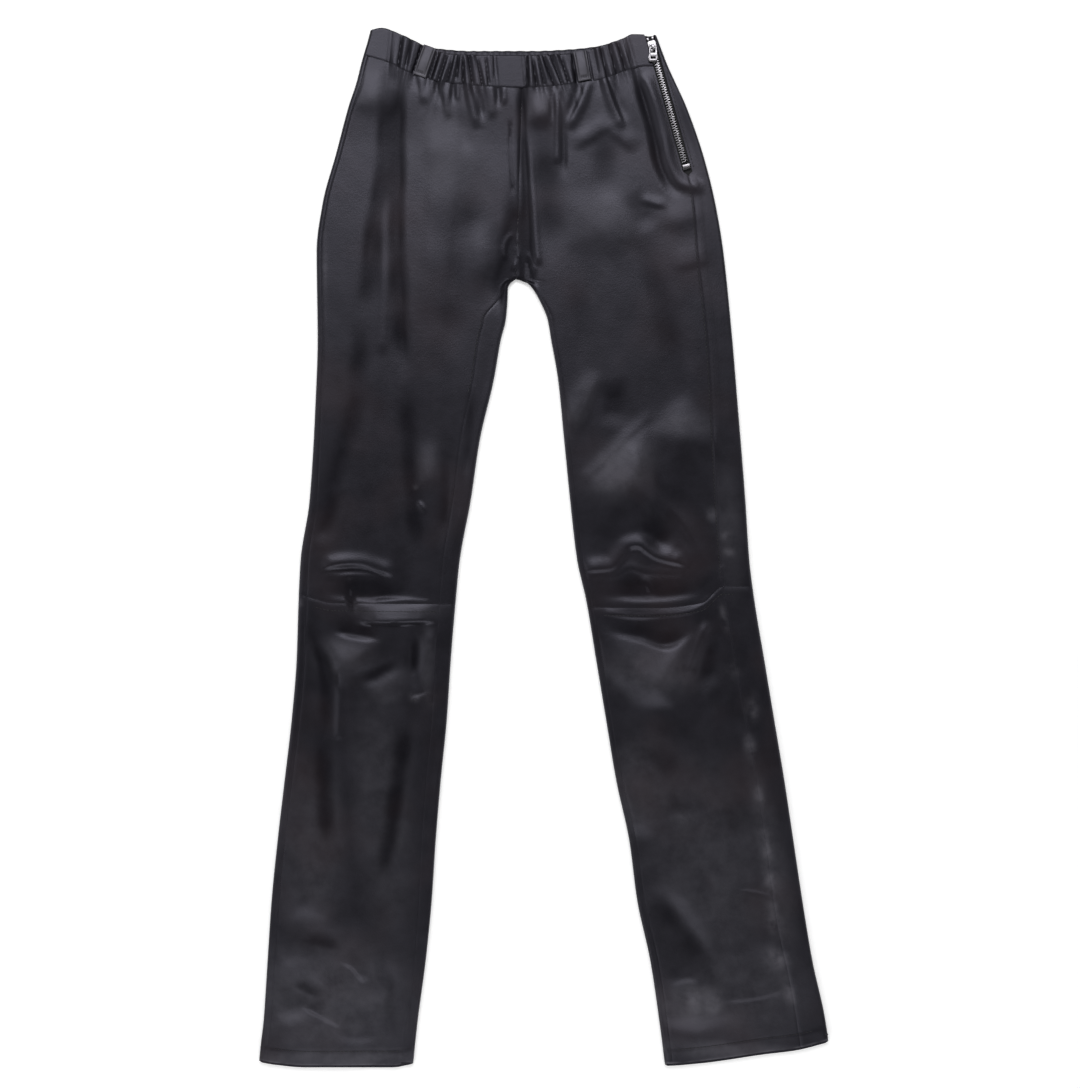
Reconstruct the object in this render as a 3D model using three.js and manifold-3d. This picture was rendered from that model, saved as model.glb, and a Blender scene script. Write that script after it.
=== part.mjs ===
import * as THREE from "three";
import Module from "manifold-3d";

const wasm = await Module();
wasm.setup();

// Leather trousers laid flat on their back. Millimetres: X to the wearer's left, Y to the waist, Z up.
const leather = 1.2; // wall of one layer
const hemLeather = 2.2; // wall where the hem is turned in
const bandLeather = 2.4; // waistband: folded strip over its elastic
const seamGap = 0.3;
const faceHeight = 6; // top face of the front over the surface that the back rests on
const bandLow = 1.5; // outer face of the back waistband, clear of the loops under it
const bandHigh = 8.1; // outer face of the front waistband
const panelHigh = 7.8; // top face of the front panels where they meet the waistband
const riseFrom = 400; // the body starts to lift towards the waistband here
const riseTo = 456;
const crotchX = -27.5;
const crotchY = 268;
const archLow = 244; // the crotch's arch runs down to here on both legs
const archRound = 8; // the faces draw in towards each other this far above it
const archLeast = 0.45; // half of the height that is left between them
const archLean = { span: 30, reach: 16, fade: 8 }; // where the walls lean with the arch
const hemTurn = 15;

// Outline: how far each edge lies from the middle, at each height up the garment.
const outerEdges = table("y outerRight outerLeft", [
  [518.5, -172.0, 109.5],
  [508.5, -174.5, 113.5],
  [484.5, -181.5, 122.5],
  [464.5, -186.5, 131.5],
  [440.5, -194.5, 142.5],
  [392.5, -207.5, 159.5],
  [344.5, -220.5, 171.5],
  [296.5, -226.5, 179.5],
  [208.5, -225.5, 188.5],
  [148.5, -227.5, 193.5],
  [48.5, -233.5, 201.5],
  [-11.5, -242.5, 205.5],
  [-51.5, -244.5, 210.5],
  [-111.5, -246.5, 220.5],
  [-171.5, -251.5, 230.5],
  [-231.5, -258.5, 240.5],
  [-291.5, -265.5, 249.5],
  [-351.5, -271.5, 258.5],
  [-411.5, -275.5, 268.5],
  [-471.5, -279.5, 281.5],
  [-496.5, -282.5, 284.5],
  [-518.5, -284.5, 284.0],
]);
const innerEdges = table("y innerRight innerLeft", [
  [268.0, -28.0, -27.0],
  [266.5, -31.3, -19.0],
  [260.0, -35.4, -11.5],
  [248.5, -35.8, -4.5],
  [228.5, -37.5, 4.0],
  [208.5, -42.5, 7.5],
  [168.5, -49.5, 14.5],
  [108.5, -63.5, 20.5],
  [48.5, -72.5, 26.5],
  [-11.5, -83.5, 33.5],
  [-51.5, -87.5, 42.5],
  [-111.5, -92.5, 52.5],
  [-171.5, -96.5, 62.5],
  [-231.5, -102.5, 72.5],
  [-291.5, -107.5, 85.5],
  [-351.5, -111.5, 93.5],
  [-411.5, -117.5, 106.5],
  [-471.5, -125.5, 115.5],
  [-518.5, -130.5, 121.5],
]);

// Seams that lie on the front face: how far in from the edge, or where across.
const seamInsets = table("y outRight inRight inLeft", [
  [500.0, 6.0, 0.0, 0.0],
  [268.0, 6.0, 0.0, 0.0],
  [248.5, 6.0, 9.0, 3.6],
  [228.5, 6.0, 22.0, 5.0],
  [185.5, 6.0, 21.0, 5.0],
  [-58.5, 8.5, 16.0, 6.0],
  [-298.5, 8.0, 14.0, 7.0],
  [-444.5, 8.0, 11.0, 8.0],
  [-518.5, 8.0, 12.0, 8.0],
]);
const leftOutseam = table("y x", [
  [376.5, 143.5],
  [341.5, 150.5],
  [298.5, 154.0],
  [197.5, 165.0],
  [104.5, 170.0],
  [-26.5, 178.5],
  [-109.5, 190.5],
  [-200.5, 207.0],
  [-298.5, 222.0],
  [-366.0, 231.5],
  [-445.0, 248.0],
  [-518.5, 259.5],
]);
const frontTop = table("x y", [
  [-172.0, 516.0],
  [-161.5, 518.3],
  [-141.5, 511.5],
  [-121.5, 502.0],
  [-103.5, 494.5],
  [-83.5, 491.5],
  [-23.5, 491.0],
  [16.5, 492.0],
  [36.5, 494.5],
  [56.5, 500.0],
  [78.5, 507.5],
  [88.5, 512.0],
  [114.0, 511.0],
]);
const backTop = table("x y", [
  [-172.0, 516.0],
  [-161.5, 518.3],
  [-141.5, 511.5],
  [-121.5, 502.7],
  [-101.5, 498.5],
  [-71.5, 496.5],
  [-11.5, 496.5],
  [28.5, 498.3],
  [56.5, 501.7],
  [78.5, 507.5],
  [88.5, 512.0],
  [114.0, 511.0],
]);
const bandSeam = table("x y", [
  [-180.0, 491.5],
  [-151.5, 482.5],
  [-138.5, 475.5],
  [-103.5, 464.5],
  [-50.5, 459.5],
  [-21.5, 458.5],
  [56.5, 466.5],
  [83.5, 476.0],
  [102.5, 480.0],
  [125.0, 480.0],
]);
const kneeSeam = table("x y", [
  [-245.0, -45.0],
  [-208.5, -54.5],
  [-104.0, -55.5],
  [61.5, -59.0],
  [112.5, -59.5],
  [157.5, -54.5],
  [179.5, -38.0],
  [211.0, -38.0],
]);
const backHem = table("x y", [
  [-284.5, -513.0],
  [-269.5, -515.8],
  [-237.5, -518.5],
  [-149.5, -518.5],
  [-130.5, -515.5],
  [121.5, -517.0],
  [156.5, -514.5],
  [220.5, -505.5],
  [252.5, -501.5],
  [284.5, -493.5],
]);
const hemLift = 4; // the front hem ends this much above the back one

// Gathers on the front of the waistband: crests across the strip.
const gathers = table("x height halfWidth", [
  [-146.5, 1.0, 2.9],
  [-138.5, 1.1, 2.8],
  [-131.5, 0.9, 2.6],
  [-103.0, 1.2, 3.4],
  [-89.0, 1.1, 2.9],
  [-81.5, 1.2, 2.7],
  [-73.5, 1.2, 2.8],
  [-63.5, 1.1, 3.1],
  [-53.5, 0.9, 3.1],
  [-13.5, 1.2, 3.0],
  [-3.5, 1.1, 3.1],
  [4.5, 1.2, 2.8],
  [12.5, 1.2, 2.8],
  [21.5, 1.1, 3.0],
  [56.5, 1.1, 3.2],
  [66.0, 0.9, 3.0],
  [74.5, 1.1, 2.8],
  [81.5, 1.0, 2.7],
]);
const gatherDepth = 0.6; // how far the troughs sink below the plain strip
const backGathers = 26;
const backGatherHeight = 0.9;

// Folds of the front: a soft ridge, or a trough where the height is negative, along a bent line.
const folds = table("x1 y1 x2 y2 x3 y3 halfWidth height", [
  [-158, 480, -172, 310, -190, 120, 9, -2.2],
  [-190, 120, -200, 70, -226, 8, 9, -2.0],
  [-141, 478, -150, 310, -136, 120, 9, -2.0],
  [-136, 120, -134, 60, -126, -4, 8, -1.4],
  [-150, 470, -160, 330, -165, 200, 8, 1.4],
  [-72, 150, -74, 118, -76, 84, 9, -1.3],
  [-96, 90, -98, 56, -100, 20, 9, -1.6],
  [-70, 452, -70, 436, -66, 416, 6, 1.4],
  [-101, 464, -97, 450, -96, 432, 6, 1.2],
  [-222, -14, -180, -11, -143, -24, 8, 3.4],
  [-214, -30, -190, -31, -160, -34, 8, -2.2],
  [-212, -78, -184, -84, -158, -86, 8, -2.4],
  [-226, -104, -202, -116, -172, -108, 12, 4.0],
  [-205, -118, -203, -150, -205, -190, 9, 1.6],
  [-234, -80, -214, -130, -218, -310, 9, -1.6],
  [-131, -150, -148, -250, -170, -348, 10, -1.8],
  [-192, -413, -184, -424, -176, -434, 8, 1.5],
  [-234, -455, -220, -466, -203, -474, 8, -1.4],
  [41, 460, 36, 432, 25, 414, 7, 1.8],
  [61, 466, 70, 442, 77, 424, 7, 1.8],
  [53, 414, 46, 404, 36, 394, 7, 1.6],
  [71, 421, 78, 410, 85, 398, 7, 1.6],
  [-20, 452, -15, 380, -13, 288, 6, -1.6],
  [-10, 448, -5, 380, -3, 300, 6, 1.3],
  [92, 470, 112, 420, 116, 388, 7, -1.6],
  [116, 388, 122, 356, 141, 352, 7, -1.4],
  [52, 46, 88, 62, 106, 108, 14, 5.4],
  [104, 134, 114, 134, 124, 114, 11, 2.2],
  [126, 152, 146, 136, 166, 106, 11, 2.0],
  [102, 60, 130, 40, 158, -12, 9, 2.6],
  [42, -16, 76, -26, 97, 6, 8, 3.4],
  [97, 6, 112, -12, 146, -16, 8, 3.2],
  [56, -40, 100, -36, 152, -34, 8, -2.4],
  [74, -74, 110, -80, 148, -92, 9, -2.2],
  [70, -122, 108, -134, 146, -118, 14, 4.4],
  [86, -188, 110, -210, 140, -238, 13, -2.0],
  [82, -252, 104, -262, 126, -272, 12, 2.0],
  [100, -334, 140, -382, 178, -430, 9, -2.0],
  [134, -428, 152, -452, 176, -472, 12, 2.0],
]);

// Side zip: a straight line in the left outseam.
const zipTop = [105.5, 510];
const zipBottom = [143.5, 376.5];
const zipOpening = 9.2; // between the two leather edges
const tapeThickness = 0.8;
const tapeSide = 7.5;
const tapeStations = [0.6, 4, 10, 18, 27, 36, 48, 60, 72, 84, 96, 120, 146]; // along it from its top
const tapeTopSide = 4.1; // the front's side of the tape is cut back at the top
const tapeFull = { from: -2, over: 52 }; // and reaches its whole width after this
const tapeSink = { from: 36, over: 60 }; // it sinks from the waistband's height to the panels'
const openingEnd = { from: 371.5, over: 4.5 }; // the opening narrows to a seam here
const chainWidth = 6;
const chainHeight = 2.2;
const sliderFrom = 5; // along the zip from its top
const sliderTo = 17;
const sliderHeight = 3.2;
const pivotAt = 12.5;
const pivotLift = 1.15; // the pull's pivot over the slider's top
const bridgeWidth = 2.2;
const bridgeWall = 1.1;
const pullThickness = 1.2;
const pullLength = 14.5;
const pullWindow = [4.6, -5.4, -0.65]; // width, low and high end
const pullSlot = [5.2, -11.4, -9.4];
const bottomStopLength = 5.2;

const loopWidth = 12.5;
const loopThickness = 1.6;
const loopBow = 1.3; // rise of the front loops between their ends
const loopEdge = [0.6, 0.4]; // bevel, across and down
const frontLoops = table("side topX topY endX endY", [
  [-1, -113.0, 499.0, -123.3, 470.0],
  [1, 35.8, 494.5, 41.0, 465.5],
]);
const backLoops = table("side x topY endY", [
  [-1, -118.0, 500.0, 468.0],
  [1, 38.0, 498.0, 466.0],
]);

const materials = {
  leather: new THREE.MeshStandardMaterial({ color: 0x232226, roughness: 0.5, metalness: 0 }),
  tape: new THREE.MeshStandardMaterial({ color: 0x1b1b1e, roughness: 0.9, metalness: 0 }),
  nickel: new THREE.MeshStandardMaterial({ color: 0xc4c2c6, roughness: 0.3, metalness: 1 }),
};

// A table keeps its rows and reads any column as a smooth curve over the first one.
function table(names, rows) {
  const columns = names.split(" ");
  const named = rows.map((row) => Object.fromEntries(columns.map((c, i) => [c, row[i]])));
  const rising = rows[0][0] < rows[rows.length - 1][0];
  const sorted = rising ? rows : [...rows].reverse();
  const at = (column, where) => smoothAt(sorted, columns.indexOf(column), where);
  return { rows: named, at };
}

// Cubic through the rows, with slopes averaged from both sides and held flat at turning points.
function smoothAt(rows, column, where) {
  const last = rows.length - 1;
  if (where <= rows[0][0]) return rows[0][column];
  if (where >= rows[last][0]) return rows[last][column];
  const slope = (i) => (rows[i + 1][column] - rows[i][column]) / (rows[i + 1][0] - rows[i][0]);
  const tangent = (i) => {
    if (i === 0) return slope(0);
    if (i === last) return slope(last - 1);
    const [before, after] = [slope(i - 1), slope(i)];
    return before * after <= 0 ? 0 : (2 * before * after) / (before + after);
  };
  const i = rows.findIndex((row) => row[0] > where) - 1;
  const step = rows[i + 1][0] - rows[i][0];
  const t = (where - rows[i][0]) / step;
  const [a, b] = [rows[i][column], rows[i + 1][column]];
  const [ta, tb] = [tangent(i) * step, tangent(i + 1) * step];
  return a + t * (ta + t * (3 * (b - a) - 2 * ta - tb + t * (2 * (a - b) + ta + tb)));
}

const mix = (a, b, t) => a + (b - a) * t;
const ease = (t) => {
  const c = Math.min(1, Math.max(0, t));
  return c * c * (3 - 2 * c);
};
const evenly = (count) => Array.from({ length: count + 1 }, (_, i) => i / count);

const lowFace = (y) => bandLow * ease((y - riseFrom) / (riseTo - riseFrom));
const highFace = (y) => faceHeight + (panelHigh - faceHeight) * ease((y - riseFrom) / (riseTo - riseFrom));
const outerX = (side, y) => outerEdges.at(side < 0 ? "outerRight" : "outerLeft", y);
const innerX = (side, y) => innerEdges.at(side < 0 ? "innerRight" : "innerLeft", y);
const centreX = (y) => mix(-21.5, crotchX, (458.5 - y) / (458.5 - crotchY));

const zipLength = Math.hypot(zipBottom[0] - zipTop[0], zipBottom[1] - zipTop[1]);
const zipDown = [(zipBottom[0] - zipTop[0]) / zipLength, (zipBottom[1] - zipTop[1]) / zipLength];
const zipAcross = [-zipDown[1], zipDown[0]];
const pullTurn = -Math.asin(zipAcross[1]); // the pull hangs straight towards the hems
const zipX = (y) => zipTop[0] + ((y - zipTop[1]) * zipDown[0]) / zipDown[1];

// The outseam's middle and half the gap that it leaves: the zip's opening, then a seam.
function outseam(side, y) {
  if (side < 0) return { x: outerX(-1, y) + seamInsets.at("outRight", y), half: seamGap / 2 };
  const open = ease((y - openingEnd.from) / openingEnd.over);
  const half = mix(seamGap / 2, zipOpening / 2 / zipAcross[0], open);
  return { x: y > zipBottom[1] ? zipX(y) : leftOutseam.at("x", y), half };
}

// Distance from a point to the arch of the crotch, as the outline runs there.
const crotchArch = [-1, 1].flatMap((side) =>
  evenly(16).map((t) => {
    const y = mix(crotchY, archLow, t * t);
    return [innerX(side, y), y];
  }),
);
const toCrotch = (x, y) => Math.min(...crotchArch.map(([ax, ay]) => Math.hypot(x - ax, y - ay)));

// How far the round of the crotch draws both faces in towards each other.
function crotchRound(x, y, radius) {
  if (y < crotchY || y > crotchY + archRound) return 0;
  const inset = Math.min(radius, toCrotch(x, y));
  return Math.min(radius - archLeast, radius - Math.sqrt(radius * radius - (radius - inset) ** 2));
}

// Height that the folds add at a point: each is a bell across its line, fading at both ends.
function foldAt(x, y) {
  let sum = 0;
  for (const fold of folds.rows) {
    const reach = 3 * fold.halfWidth;
    const [lowX, highX] = [Math.min(fold.x1, fold.x2, fold.x3), Math.max(fold.x1, fold.x2, fold.x3)];
    const [lowY, highY] = [Math.min(fold.y1, fold.y2, fold.y3), Math.max(fold.y1, fold.y2, fold.y3)];
    if (x < lowX - reach || x > highX + reach || y < lowY - reach || y > highY + reach) continue;
    let best = Infinity;
    let along = 0;
    for (const t of evenly(16)) {
      const px = mix(mix(fold.x1, fold.x2, t), mix(fold.x2, fold.x3, t), t);
      const py = mix(mix(fold.y1, fold.y2, t), mix(fold.y2, fold.y3, t), t);
      const away = Math.hypot(x - px, y - py);
      if (away < best) {
        best = away;
        along = t;
      }
    }
    const fade = ease(along / 0.2) * ease((1 - along) / 0.2);
    sum += fold.height * mix(0.35, 1, fade) * Math.exp(-((best / fold.halfWidth) ** 2));
  }
  return sum;
}

// Top face of the front over any point: folds fade out towards the edges and the waistband.
function topFace(x, y) {
  const left = y < crotchY ? x > (innerX(-1, y) + innerX(1, y)) / 2 : x > crotchX;
  const side = left ? 1 : -1;
  let inset = Math.abs(outerX(side, y) - x);
  if (y < crotchY) inset = Math.min(inset, Math.abs(innerX(side, y) - x));
  const fold = foldAt(x, y) * ease((inset - 3) / 9);
  const least = lowFace(y) + 2 * leather + 0.6;
  return Math.max(least, highFace(y) + fold);
}

const edgeRadius = (y) => (highFace(y) - lowFace(y)) / 2;

// A point on the rounded edge of a leg. `path` runs from the outermost point, up and in over the top
// face when positive, under the back when negative.
function edgePoint(side, edge, y, path) {
  const radius = edgeRadius(y);
  const middle = lowFace(y) + radius;
  const quarter = (radius * Math.PI) / 2;
  const turn = Math.min(quarter, Math.abs(path)) / radius;
  const run = Math.max(0, Math.abs(path) - quarter);
  const x = edge - side * (radius * (1 - Math.cos(turn)) + run);
  const height = radius * Math.sin(turn);
  if (run > 0) return [x, y, path > 0 ? topFace(x, y) : lowFace(y)];
  return [x, y, middle + Math.sign(path) * height];
}

// The path length on an edge at which a seam with this inset lies.
function seamPath(inset, y) {
  const radius = edgeRadius(y);
  if (inset >= radius) return (radius * Math.PI) / 2 + inset - radius;
  return radius * Math.acos(1 - inset / radius);
}

// Half the gap at the centre seams, which opens a little where they turn round the crotch.
const centreGap = (y) => mix(0.5, seamGap / 2, ease((y - crotchY) / 10));

const insideGap = (y) => seamGap / 2 + 0.35 * ease(1 - Math.abs(y - crotchY + 6) / 18);
const insideInset = (side, y) => seamInsets.at(side < 0 ? "inRight" : "inLeft", y);

// The height at which a column, whose place across depends on its height, meets a seam.
function settle(start, seamAt) {
  let y = start;
  for (let i = 0; i < 4; i++) y = seamAt(y);
  return y;
}

// Rows of a panel: level heights, bent at each end to the seam that the panel meets there.
function panelY(level, levels, top, bottom) {
  const first = levels[0];
  const last = levels[levels.length - 1];
  const bendTop = 80;
  const bendBottom = 40;
  const nearTop = ease(1 - (first - level) / bendTop);
  const nearBottom = ease(1 - (level - last) / bendBottom);
  return level + (top - first) * nearTop + (bottom - last) * nearBottom;
}

// A front panel: from the outseam to the centre seam, and below the crotch to the inseam. Its last
// columns lie close together, at these distances from that seam.
const frontColumns = 18;
const lastColumns = [5, 3, 1.5, 0];
function frontPoint(side, y, column) {
  const seam = outseam(side, y);
  const outer = seam.x - side * seam.half;
  const evenColumns = frontColumns - lastColumns.length + 1;
  const near = column >= evenColumns ? lastColumns[column - evenColumns] : null;
  const share = column / evenColumns;
  if (y >= crotchY) {
    const inner = centreX(y) + side * centreGap(y);
    const x = near === null ? mix(outer, inner + side * lastColumns[0], share) : inner + side * near;
    return [x, y, topFace(x, y) - crotchRound(x, y, edgeRadius(y))];
  }
  const edge = innerX(side, y);
  const start = seamPath(insideInset(side, y), y) + insideGap(y);
  if (near !== null) return edgePoint(-side, edge, y, start + near);
  const [from] = edgePoint(-side, edge, y, start + lastColumns[0]);
  const x = mix(outer, from, share);
  return [x, y, topFace(x, y)];
}

// A back panel: from the outseam on top, round the outer edge, across underneath, and below the
// crotch round the inner edge up to the inseam.
const backParts = { flap: 2, outerArc: 4, under: 5, lowerArc: 2, upperArc: 2, innerFlap: 2 };
const backColumns = Object.values(backParts).reduce((a, b) => a + b);
const beforeArc = 4.5; // above the crotch its arc columns lie this close to the centre seam
function backPoint(side, y, column) {
  const { flap, outerArc, under, lowerArc, upperArc } = backParts;
  const radius = edgeRadius(y);
  const quarter = (radius * Math.PI) / 2;
  const edge = outerX(side, y);
  const seam = outseam(side, y);
  const flapEnd = seamPath(Math.abs(edge - seam.x - side * seam.half), y);
  if (column < flap) return edgePoint(side, edge, y, mix(flapEnd, quarter, column / flap));
  const round = (column - flap) / outerArc;
  if (round < 1) return edgePoint(side, edge, y, mix(Math.min(quarter, flapEnd), -quarter, round));
  const across = (column - flap - outerArc) / under;
  const start = edge - side * radius;
  if (y >= crotchY) {
    const inner = centreX(y) + side * centreGap(y);
    const arc = (column - flap - outerArc - under) / lowerArc;
    const left = beforeArc * Math.max(0, 1 - arc);
    const x = across < 1 ? mix(start, inner + side * beforeArc, across) : inner + side * left;
    return [x, y, lowFace(y) + crotchRound(x, y, radius)];
  }
  const inside = innerX(side, y);
  if (across < 1) return [mix(start, inside + side * radius, across), y, lowFace(y)];
  const end = seamPath(insideInset(side, y), y) - insideGap(y);
  const lower = (column - flap - outerArc - under) / lowerArc;
  if (lower < 1) return edgePoint(-side, inside, y, mix(-quarter, Math.min(0, end), lower));
  const upper = (column - flap - outerArc - under - lowerArc) / upperArc;
  const last = column - flap - outerArc - under - lowerArc - upperArc;
  if (upper < 1) return edgePoint(-side, inside, y, mix(Math.min(0, end), Math.min(quarter, end), upper));
  return edgePoint(-side, inside, y, mix(Math.min(quarter, end), end, last / backParts.innerFlap));
}

// Direction of a row of points at one of them, by a parabola through it and its nearest neighbours.
function tangent(row, i) {
  const here = new THREE.Vector3(...row[i]);
  const seek = (step) => {
    const found = [];
    for (let k = i + step; k >= 0 && k < row.length && found.length < 2; k += step) {
      const point = new THREE.Vector3(...row[k]);
      if (point.distanceTo(found.length ? found[0] : here) > 1e-3) found.push(point);
    }
    return found;
  };
  const [before, after] = [seek(-1), seek(1)];
  if (before.length && after.length) {
    const back = here.clone().sub(before[0]);
    const ahead = after[0].clone().sub(here);
    const [short, long] = [back.length(), ahead.length()];
    return back.multiplyScalar(long / short).add(ahead.multiplyScalar(short / long));
  }
  const [near, far] = after.length ? after : before;
  const sign = after.length ? 1 : -1;
  const first = near.distanceTo(here);
  const second = far ? far.distanceTo(near) : first;
  if (!far) return near.clone().sub(here).multiplyScalar(sign);
  const slope = near.clone().sub(here).divideScalar(first);
  const next = far.clone().sub(near).divideScalar(second);
  const bend = next.sub(slope).multiplyScalar(first / (first + second));
  return slope.sub(bend).multiplyScalar(sign);
}

// Normal of a grid of points at one place, square to the garment's length so that walls meet flush
// at the waist, knee and hem. Only the round of the crotch leans.
function gridNormal(grid, j, i) {
  const across = tangent(grid[j], i);
  const down = new THREE.Vector3(...grid[Math.min(grid.length - 1, j + 1)][i]);
  down.sub(new THREE.Vector3(...grid[Math.max(0, j - 1)][i]));
  const normal = across.cross(down);
  const [x, y] = grid[j][i];
  const near = Math.abs(y - crotchY) < archLean.span;
  const lean = near ? ease((archLean.reach - toCrotch(x, y)) / archLean.fade) : 0;
  return normal.setY(normal.y * lean).normalize();
}

// A closed wall between an outer grid and the same grid moved in by its thickness.
function wallMesh(name, outer, thickness, facing, swell) {
  const inner = outer.map((row, j) =>
    row.map((point, i) => {
      const normal = gridNormal(outer, j, i).multiplyScalar(facing);
      return new THREE.Vector3(...point).addScaledVector(normal, -thickness(point)).toArray();
    }),
  );
  const shown = swell ? outer.map((row, j) => row.map((point, i) => swell(point, j, i, 1))) : outer;
  const hidden = swell ? inner.map((row, j) => row.map((point, i) => swell(point, j, i, 0.4))) : inner;
  return meshOf(name, closedGrid(shown, hidden), materials.leather);
}

function closedGrid(outer, inner) {
  const [rows, columns] = [outer.length, outer[0].length];
  const corners = [];
  const quad = (a, b, c, d) => corners.push(a, b, c, a, c, d);
  for (let j = 0; j < rows - 1; j++)
    for (let i = 0; i < columns - 1; i++) {
      quad(outer[j][i], outer[j + 1][i], outer[j + 1][i + 1], outer[j][i + 1]);
      quad(inner[j][i], inner[j][i + 1], inner[j + 1][i + 1], inner[j + 1][i]);
    }
  for (let i = 0; i < columns - 1; i++) {
    quad(outer[0][i], outer[0][i + 1], inner[0][i + 1], inner[0][i]);
    quad(outer[rows - 1][i + 1], outer[rows - 1][i], inner[rows - 1][i], inner[rows - 1][i + 1]);
  }
  for (let j = 0; j < rows - 1; j++) {
    quad(outer[j + 1][0], outer[j][0], inner[j][0], inner[j + 1][0]);
    quad(outer[j][columns - 1], outer[j + 1][columns - 1], inner[j + 1][columns - 1], inner[j][columns - 1]);
  }
  return corners;
}

// A mesh from a list of triangle corners: shared points are joined, collapsed triangles left out,
// and the faces turned outwards.
function meshOf(name, corners, material) {
  const index = new Map();
  const positions = [];
  const ids = corners.map((point) => {
    const key = point.map((v) => Math.round(v * 1000)).join();
    if (!index.has(key)) {
      index.set(key, positions.length / 3);
      positions.push(...point);
    }
    return index.get(key);
  });
  let faces = [];
  let volume = 0;
  const corner = (id) => new THREE.Vector3().fromArray(positions, id * 3);
  for (let i = 0; i < ids.length; i += 3) {
    const [a, b, c] = ids.slice(i, i + 3);
    if (a === b || b === c || a === c) continue;
    faces.push([a, b, c]);
    volume += corner(a).dot(corner(b).cross(corner(c)));
  }
  if (volume < 0) faces = faces.map(([a, b, c]) => [a, c, b]);
  const geometry = new THREE.BufferGeometry();
  geometry.setAttribute("position", new THREE.Float32BufferAttribute(positions, 3));
  geometry.setIndex(faces.flat());
  const mesh = new THREE.Mesh(geometry, material);
  mesh.name = name;
  return mesh;
}

const thighLevels = [
  470, 452, 430, 404, 377, 371, 344, 314, 290, 276, 271, 269, 268, 265.5, 260, 248.5, 228.5, 205, 180,
  154, 128, 102, 76, 50, 24, 2, -18, -36, -56,
];
const shinLevels = [
  -56, -76, -96, -118, -144, -176, -212, -254, -300, -346, -392, -434, -472, -501, -503.5, -518,
];

const nearHem = (y, hem) => y < hem + hemTurn + 1;
const sewnWall = ([x, y]) => (nearHem(y, backHem.at("y", x)) ? hemLeather : leather);

// The outer points of one panel: its rows run from the waist or knee seam to the next seam down.
function panelGrid(side, part, face) {
  const thigh = part === "thigh";
  const levels = thigh ? thighLevels : shinLevels;
  const kneeShift = thigh ? seamGap / 2 : -seamGap / 2;
  const front = face === "front";
  const columns = front ? frontColumns : backColumns;
  const pointAt = front ? frontPoint : backPoint;
  const topAt = (x) => (thigh ? bandSeam.at("y", x) - seamGap : kneeSeam.at("y", x) + kneeShift);
  const bottomAt = (x, lift) => (thigh ? kneeSeam.at("y", x) + kneeShift : backHem.at("y", x) + lift);
  const { flap, outerArc, under, lowerArc } = backParts;
  const liftAt = (column) => {
    const before = (flap + outerArc - column) / outerArc;
    const after = (column - flap - outerArc - under) / (2 * lowerArc);
    return front ? hemLift : hemLift * ease(Math.max(before, after));
  };
  return levels.map((level) =>
    Array.from({ length: columns + 1 }, (_, column) => {
      const reach = (y) => pointAt(side, y, column)[0];
      const top = settle(levels[0], (y) => topAt(reach(y)));
      const bottom = settle(levels[levels.length - 1], (y) => bottomAt(reach(y), liftAt(column)));
      return pointAt(side, panelY(level, levels, top, bottom), column);
    }),
  );
}

function legPanels(side, part) {
  const word = side < 0 ? "right" : "left";
  return ["front", "back"].map((face) => {
    const facing = face === "front" ? side : -side;
    return wallMesh(`${face}_${part}_${word}`, panelGrid(side, part, face), sewnWall, facing, null);
  });
}

// The waistband's path at one height: from the zip over the front, round the right edge, across the
// back and round the left edge to the other side of the zip.
const bandRadius = (bandHigh - bandLow) / 2;
const bandColumns = { front: 92, arc: 5, back: 2 * backGathers, end: 6 };
function bandPoint(y, column) {
  const middle = bandLow + bandRadius;
  const half = zipOpening / 2 / zipAcross[0];
  const [right, left] = [outerX(-1, y) + bandRadius, outerX(1, y) - bandRadius];
  if (column <= bandColumns.front)
    return [mix(zipX(y) - half, right, column / bandColumns.front), y, bandHigh];
  let step = column - bandColumns.front;
  if (step <= bandColumns.arc) {
    const turn = Math.PI * (step / bandColumns.arc);
    return [right - bandRadius * Math.sin(turn), y, middle + bandRadius * Math.cos(turn)];
  }
  step -= bandColumns.arc;
  if (step <= bandColumns.back) return [mix(right, left, step / bandColumns.back), y, bandLow];
  step -= bandColumns.back;
  const reach = zipX(y) + half;
  const overshoot = reach > left ? Math.asin(Math.min(1, (reach - left) / bandRadius)) : 0;
  const turnTo = Math.PI - overshoot;
  const flat = Math.max(0, left - reach);
  const path = (step / bandColumns.end) * (turnTo * bandRadius + flat);
  const turn = Math.min(turnTo, path / bandRadius);
  const run = Math.max(0, path - turnTo * bandRadius);
  return [left + bandRadius * Math.sin(turn) - run, y, middle - bandRadius * Math.cos(turn)];
}

// Height of the gathers over the plain strip: bells at the table's crests, shallow troughs between.
function gatherAt(x) {
  const crests = gathers.rows.map((g) => g.height * Math.exp(-(((x - g.x) / g.halfWidth) ** 2)));
  const nearest = Math.min(...gathers.rows.map((g) => Math.abs(x - g.x)));
  const trough = nearest < 9 ? gatherDepth * ease((nearest - 3) / 3) * ease((9 - nearest) / 3) : 0;
  return Math.max(...crests) - trough;
}

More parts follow.
